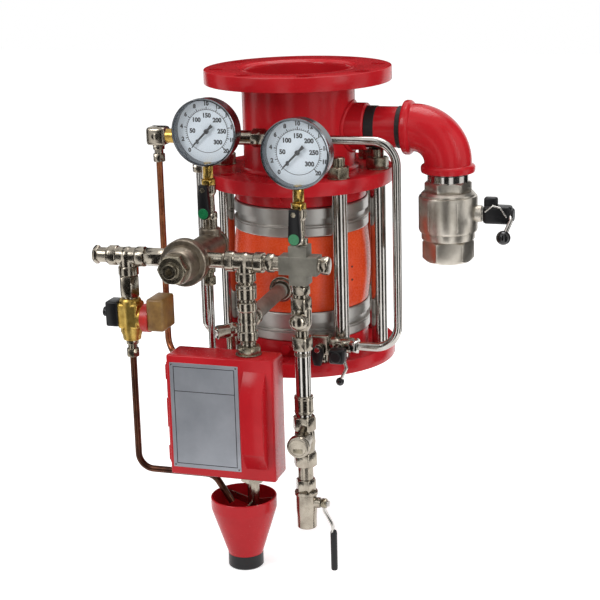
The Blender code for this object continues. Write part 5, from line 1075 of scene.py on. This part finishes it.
boxSizes = {"left": -0.1014, "right": 0.0540, "top": 0.0805, "bottom": -0.0945, "back": -0.2640,
            "joint": -0.3020,
            "front": -0.3120, "wall": 0.0020, "edge": 0.0045}
s = boxSizes
width, height = s["right"] - s["left"], s["top"] - s["bottom"]
middle = Vector(((s["left"] + s["right"]) / 2, 0, (s["top"] + s["bottom"]) / 2))
at = lambda depth: Vector((middle.x, depth, middle.z))
depth = s["back"] - s["joint"]
shell = block((width, depth + 0.010, height), "redEnamel", at(s["back"] - (depth + 0.010) / 2),
              edge=s["edge"],
              segments=4)
booleanWith(shell, "DIFFERENCE", [block((width + 0.02, 0.0200, height + 0.02), "redEnamel",
                                        at(s["joint"] - 0.0100),
                                        edge=0),
                                  block((width - 2 * s["wall"], depth, height - 2 * s["wall"]), "redEnamel",
                                        at(s["back"] - s["wall"] - depth / 2), edge=0),
                                  rod(0.0110, 0.0100, "redEnamel", (0.011, y, 0.0745), up, 0),
                                  rod(0.0088, 0.0100, "redEnamel", (0.011, y, -0.0985), up, 0)])
pinX, share = s["left"] - 0.0023, height / 5
low = s["bottom"] + share * 0.5
pin = Vector((pinX, s["joint"], 0))
shapes = [shell, rod(0.0034, share * 0.6, "redEnamel", pin + up * low, up, 0.0004),
          rod(0.0020, share * 4.2, "redEnamel", pin + up * (low - share * 0.1), up, 0.0004),
          rod(0.0034, share * 0.6, "redEnamel", pin + up * (low + share * 3.4), up, 0.0004)]
assemble("boxShellPressed", shapes, ["box_shell"])

doorBack = s["joint"] - 0.0003
doorThick = doorBack - s["front"]
panel = block((width, doorThick + 0.010, height), "redEnamel", at(s["front"] + (doorThick + 0.010) / 2),
              edge=0.0026,
              segments=4)
booleanWith(panel, "DIFFERENCE", [block((width + 0.02, 0.0200, height + 0.02), "redEnamel",
                                        at(doorBack + 0.0100),
                                        edge=0),
                                  block((width - 2 * s["wall"], doorThick, height - 2 * s["wall"]),
                                        "redEnamel",
                                        at(s["front"] + s["wall"] + doorThick / 2), edge=0)])
profile = [(0.0, 0.0640), (0.0180, 0.0330), (0.0180, -0.0500), (0.0, -0.0770), (-0.0015, -0.0770),
           (-0.0015, 0.0640)]                    # wedge over the latch: depth and height
cover = plate([(-height, -depth) for depth, height in profile], 0.0320, "redEnamel",
              (0.0275, s["front"], 0), right, 0.0014, 3)
plateSizes = {"x": (-0.0965, 0.0040), "z": (-0.0830, 0.0700), "divider": 0.0290, "thick": 0.0006,
              "inset": 0.0058,
              "line": 0.0010}
s = plateSizes
plateX, plateZ = sum(s["x"]) / 2, sum(s["z"]) / 2
plateWidth, plateHeight = s["x"][1] - s["x"][0], s["z"][1] - s["z"][0]
doorAt = lambda x, z, out: Vector((plateX + x, boxSizes["front"] - out, plateZ + z))
sheet = block((plateWidth, s["thick"], plateHeight), "brushedPlate", doorAt(0, 0, 0.0002), edge=0.0002,
              segments=1)
across, tall = plateWidth / 2 - s["inset"], plateHeight / 2 - s["inset"]
level = (2 * across + s["line"], 0.0002, s["line"])
upright = (s["line"], 0.0002, 2 * tall + s["line"])
border = [block(size, "plateBorder", doorAt(x, z, 0.0006), edge=0) for x, z, size in (
    (0, tall, level), (0, -tall, level), (0, s["divider"] - plateZ, level),
    (across, 0, upright), (-across, 0, upright))]
rivetX, rivetZ = plateWidth / 2 - 0.0030, plateHeight / 2 - 0.0030
rivets = [rod(0.0014, 0.0008, "drawnTube", doorAt(x, z, 0.0005), front, 0.0003, 16)
          for x in (-rivetX, rivetX) for z in (-rivetZ, rivetZ)]
knuckle = rod(0.0034, share * 1.2, "redEnamel", pin + up * (low + share * 1.4), up, 0.0004)
assemble("boxDoorPressed", [panel, cover, sheet, *border, *rivets, knuckle], ["box_door"])

funnelSizes = {"x": -0.0040, "rim": 0.0465, "top": -0.1280, "band": 0.0180, "bottom": -0.2140, "neck": 0.0245,
               "wall": 0.0022, "ring": 0.0190}
s = funnelSizes
axisAt = Vector((s["x"], y, 0))
outside = [(s["rim"] - 0.0006, s["top"]), (s["rim"], s["top"] - 0.0008),
           (s["rim"], s["top"] - s["band"] + 0.003),
           (s["rim"] - 0.0008, s["top"] - s["band"] - 0.001), (s["neck"] + 0.0010, s["bottom"] + 0.0040),
           (s["neck"], s["bottom"])]
inside = [(s["neck"] - s["wall"], s["bottom"]), (s["rim"] - s["wall"], s["top"] - s["band"]),
          (s["rim"] - s["wall"], s["top"])]
cone = turned(outside + inside, "redEnamel", axisAt, up, 80)
inner, outer, low = s["neck"] - 0.0060, s["neck"] + 0.0005, s["bottom"] - s["ring"]
ring = turned([(inner, low), (outer - 0.0020, low), (outer, low + 0.0020), (outer, s["bottom"] + 0.0008),
               (outer - 0.0012, s["bottom"] + 0.0020), (inner, s["bottom"] + 0.0020)], "blackNylon", axisAt,
              up, 64)
assemble("dripFunnelSpun", [cone, ring], ["drip_funnel"])
print("box and funnel done")


# CAD nodes that stay in view get their finish

carried = {
    "valve_sleeve": "sleeveRubber", "valve_core": "brightNickel", "drain_valve_ball": "turnedStainless",
    "test_valve_ball": "turnedStainless", "relay_piston": "turnedStainless", "check_ball": "turnedStainless",
    "release_valve": "nickelPlate", "release_handle": "redNylon",
}
for nodeName, finish in carried.items():
    wear(frame["nodes"][nodeName], finish)
print("carried nodes:", len(carried))


# floor, light and camera

studio = {"floorZ": -0.2332, "floor": "#f2f2f2", "floorGlow": 0.55, "ambient": 0.55}


def raysThatSeeWhite(tree):
    # 1 for camera, glossy and transmission rays, 0 for the rays that light the object
    rays = addNode(tree, "ShaderNodeLightPath", {})
    seen = addNode(tree, "ShaderNodeMath", {"operation": "MAXIMUM"},
                   [(rays, "Is Camera Ray", 0), (rays, "Is Glossy Ray", 1)])
    return addNode(tree, "ShaderNodeMath", {"operation": "MAXIMUM"},
                   [(seen, "Value", 0), (rays, "Is Transmission Ray", 1)])


deselect()
bpy.ops.mesh.primitive_plane_add(size=12, location=(0, 0, studio["floorZ"]))
floor = bpy.context.object
floor.name = "studioFloor"
floorPaper = bpy.data.materials.new("floorPaper")
floorPaper.use_nodes = True
tree = floorPaper.node_tree
shader = tree.nodes["Principled BSDF"]
shader.inputs["Base Color"].default_value = linearColour(studio["floor"])
shader.inputs["Roughness"].default_value = 0.9
shader.inputs["Emission Color"].default_value = (1, 1, 1, 1)
glow = addNode(tree, "ShaderNodeMath", {"operation": "MULTIPLY", 1: studio["floorGlow"]},
               [(raysThatSeeWhite(tree), "Value", 0)])
tree.links.new(glow.outputs["Value"], shader.inputs["Emission Strength"])
floor.data.materials.append(floorPaper)

world = bpy.data.worlds.new("studio")
bpy.context.scene.world = world
world.use_nodes = True
tree = world.node_tree
tree.nodes.clear()
ambient = addNode(tree, "ShaderNodeBackground", {"Color": (1, 1, 1, 1), "Strength": studio["ambient"]})
white = addNode(tree, "ShaderNodeBackground", {"Color": (1, 1, 1, 1), "Strength": 1.0})
mixed = addNode(tree, "ShaderNodeMixShader", {}, [(raysThatSeeWhite(tree), "Value", 0),
                                                  (ambient, "Background", 1), (white, "Background", 2)])
addNode(tree, "ShaderNodeOutputWorld", {}, [(mixed, "Shader", "Surface")])

# soft lamps: place, point they face, width and height, power in watts
lamps = {"keyLight": ((-1.2, -1.9, 1.7), (0, 0, 0.1), (1.0, 1.0), 26),
         "sideLight": ((1.9, -0.7, 0.9), (0, 0, 0.15), (0.5, 1.4), 14),
         "topLight": ((0.2, 0.4, 1.9), (0, 0, 0.2), (1.0, 1.0), 15)}
for name, (place, aim, size, power) in lamps.items():
    lamp = bpy.data.lights.new(name, "AREA")
    lamp.shape, lamp.size, lamp.size_y, lamp.energy = "RECTANGLE", size[0], size[1], power
    holder = bpy.data.objects.new(name, lamp)
    holder.location = place
    holder.rotation_mode = "QUATERNION"
    holder.rotation_quaternion = (Vector(aim) - Vector(place)).to_track_quat("-Z", "Y")
    bpy.context.scene.collection.objects.link(holder)

# dark cards round the object that only reflections see, so that bright metal gets its dark streaks:
# degrees from the camera's side, and half the width in degrees
cards = {"backCard": (180, 25), "leftRearCard": (-122, 17), "leftCard": (-76, 12), "doorCard": (-36, 13),
         "nearCard": (6, 14), "rightCard": (51, 13), "rightRearCard": (100, 16)}
cardSizes = {"distance": 0.62, "low": -0.225, "high": 0.85, "cameraSide": -72, "colour": "#161514"}
s = cardSizes
cardPaper = bpy.data.materials.new("blackCard")
cardPaper.use_nodes = True
shader = cardPaper.node_tree.nodes["Principled BSDF"]
shader.inputs["Base Color"].default_value = linearColour(s["colour"])
shader.inputs["Roughness"].default_value = 1.0
for name, (side, half) in cards.items():
    width = 2 * s["distance"] * math.tan(math.radians(half))
    angle = math.radians(s["cameraSide"] + side)
    deselect()
    bpy.ops.mesh.primitive_plane_add(size=1, location=(0, 0, 0))
    card = bpy.context.object
    card.name = name
    card.data.transform(Matrix.Diagonal((width, s["high"] - s["low"], 1, 1)))
    card.data.transform(Matrix.Translation((0, 0, (s["high"] + s["low"]) / 2)) @ Matrix.Rotation(angle, 4,
                                                                                                 "Z")
                        @ Matrix.Translation((s["distance"], 0, 0)) @ Matrix.Rotation(math.pi / 2, 4, "Z")
                        @ Matrix.Rotation(math.pi / 2, 4, "X"))
    card.data.materials.append(cardPaper)
    card.visible_camera = card.visible_diffuse = card.visible_shadow = card.visible_transmission = False

cameraSettings = {"at": (0.7370, -2.2640, 0.7226), "aim": (-0.0055, -0.0018, 0.0819), "lens": 96.0,
                  "roll": -1.59}
s = cameraSettings
cameraData = bpy.data.cameras.new("photoCamera")
cameraData.lens, cameraData.sensor_width = s["lens"], 36.0
camera = bpy.data.objects.new("photoCamera", cameraData)
bpy.context.scene.collection.objects.link(camera)
look = (Vector(s["aim"]) - Vector(s["at"])).to_track_quat("-Z", "Y").to_matrix().to_4x4()
camera.matrix_world = Matrix.Translation(s["at"]) @ look @ Matrix.Rotation(math.radians(s["roll"]), 4, "Z")
bpy.context.scene.camera = camera
bpy.context.scene.view_settings.view_transform = "Standard"

print("scene done")
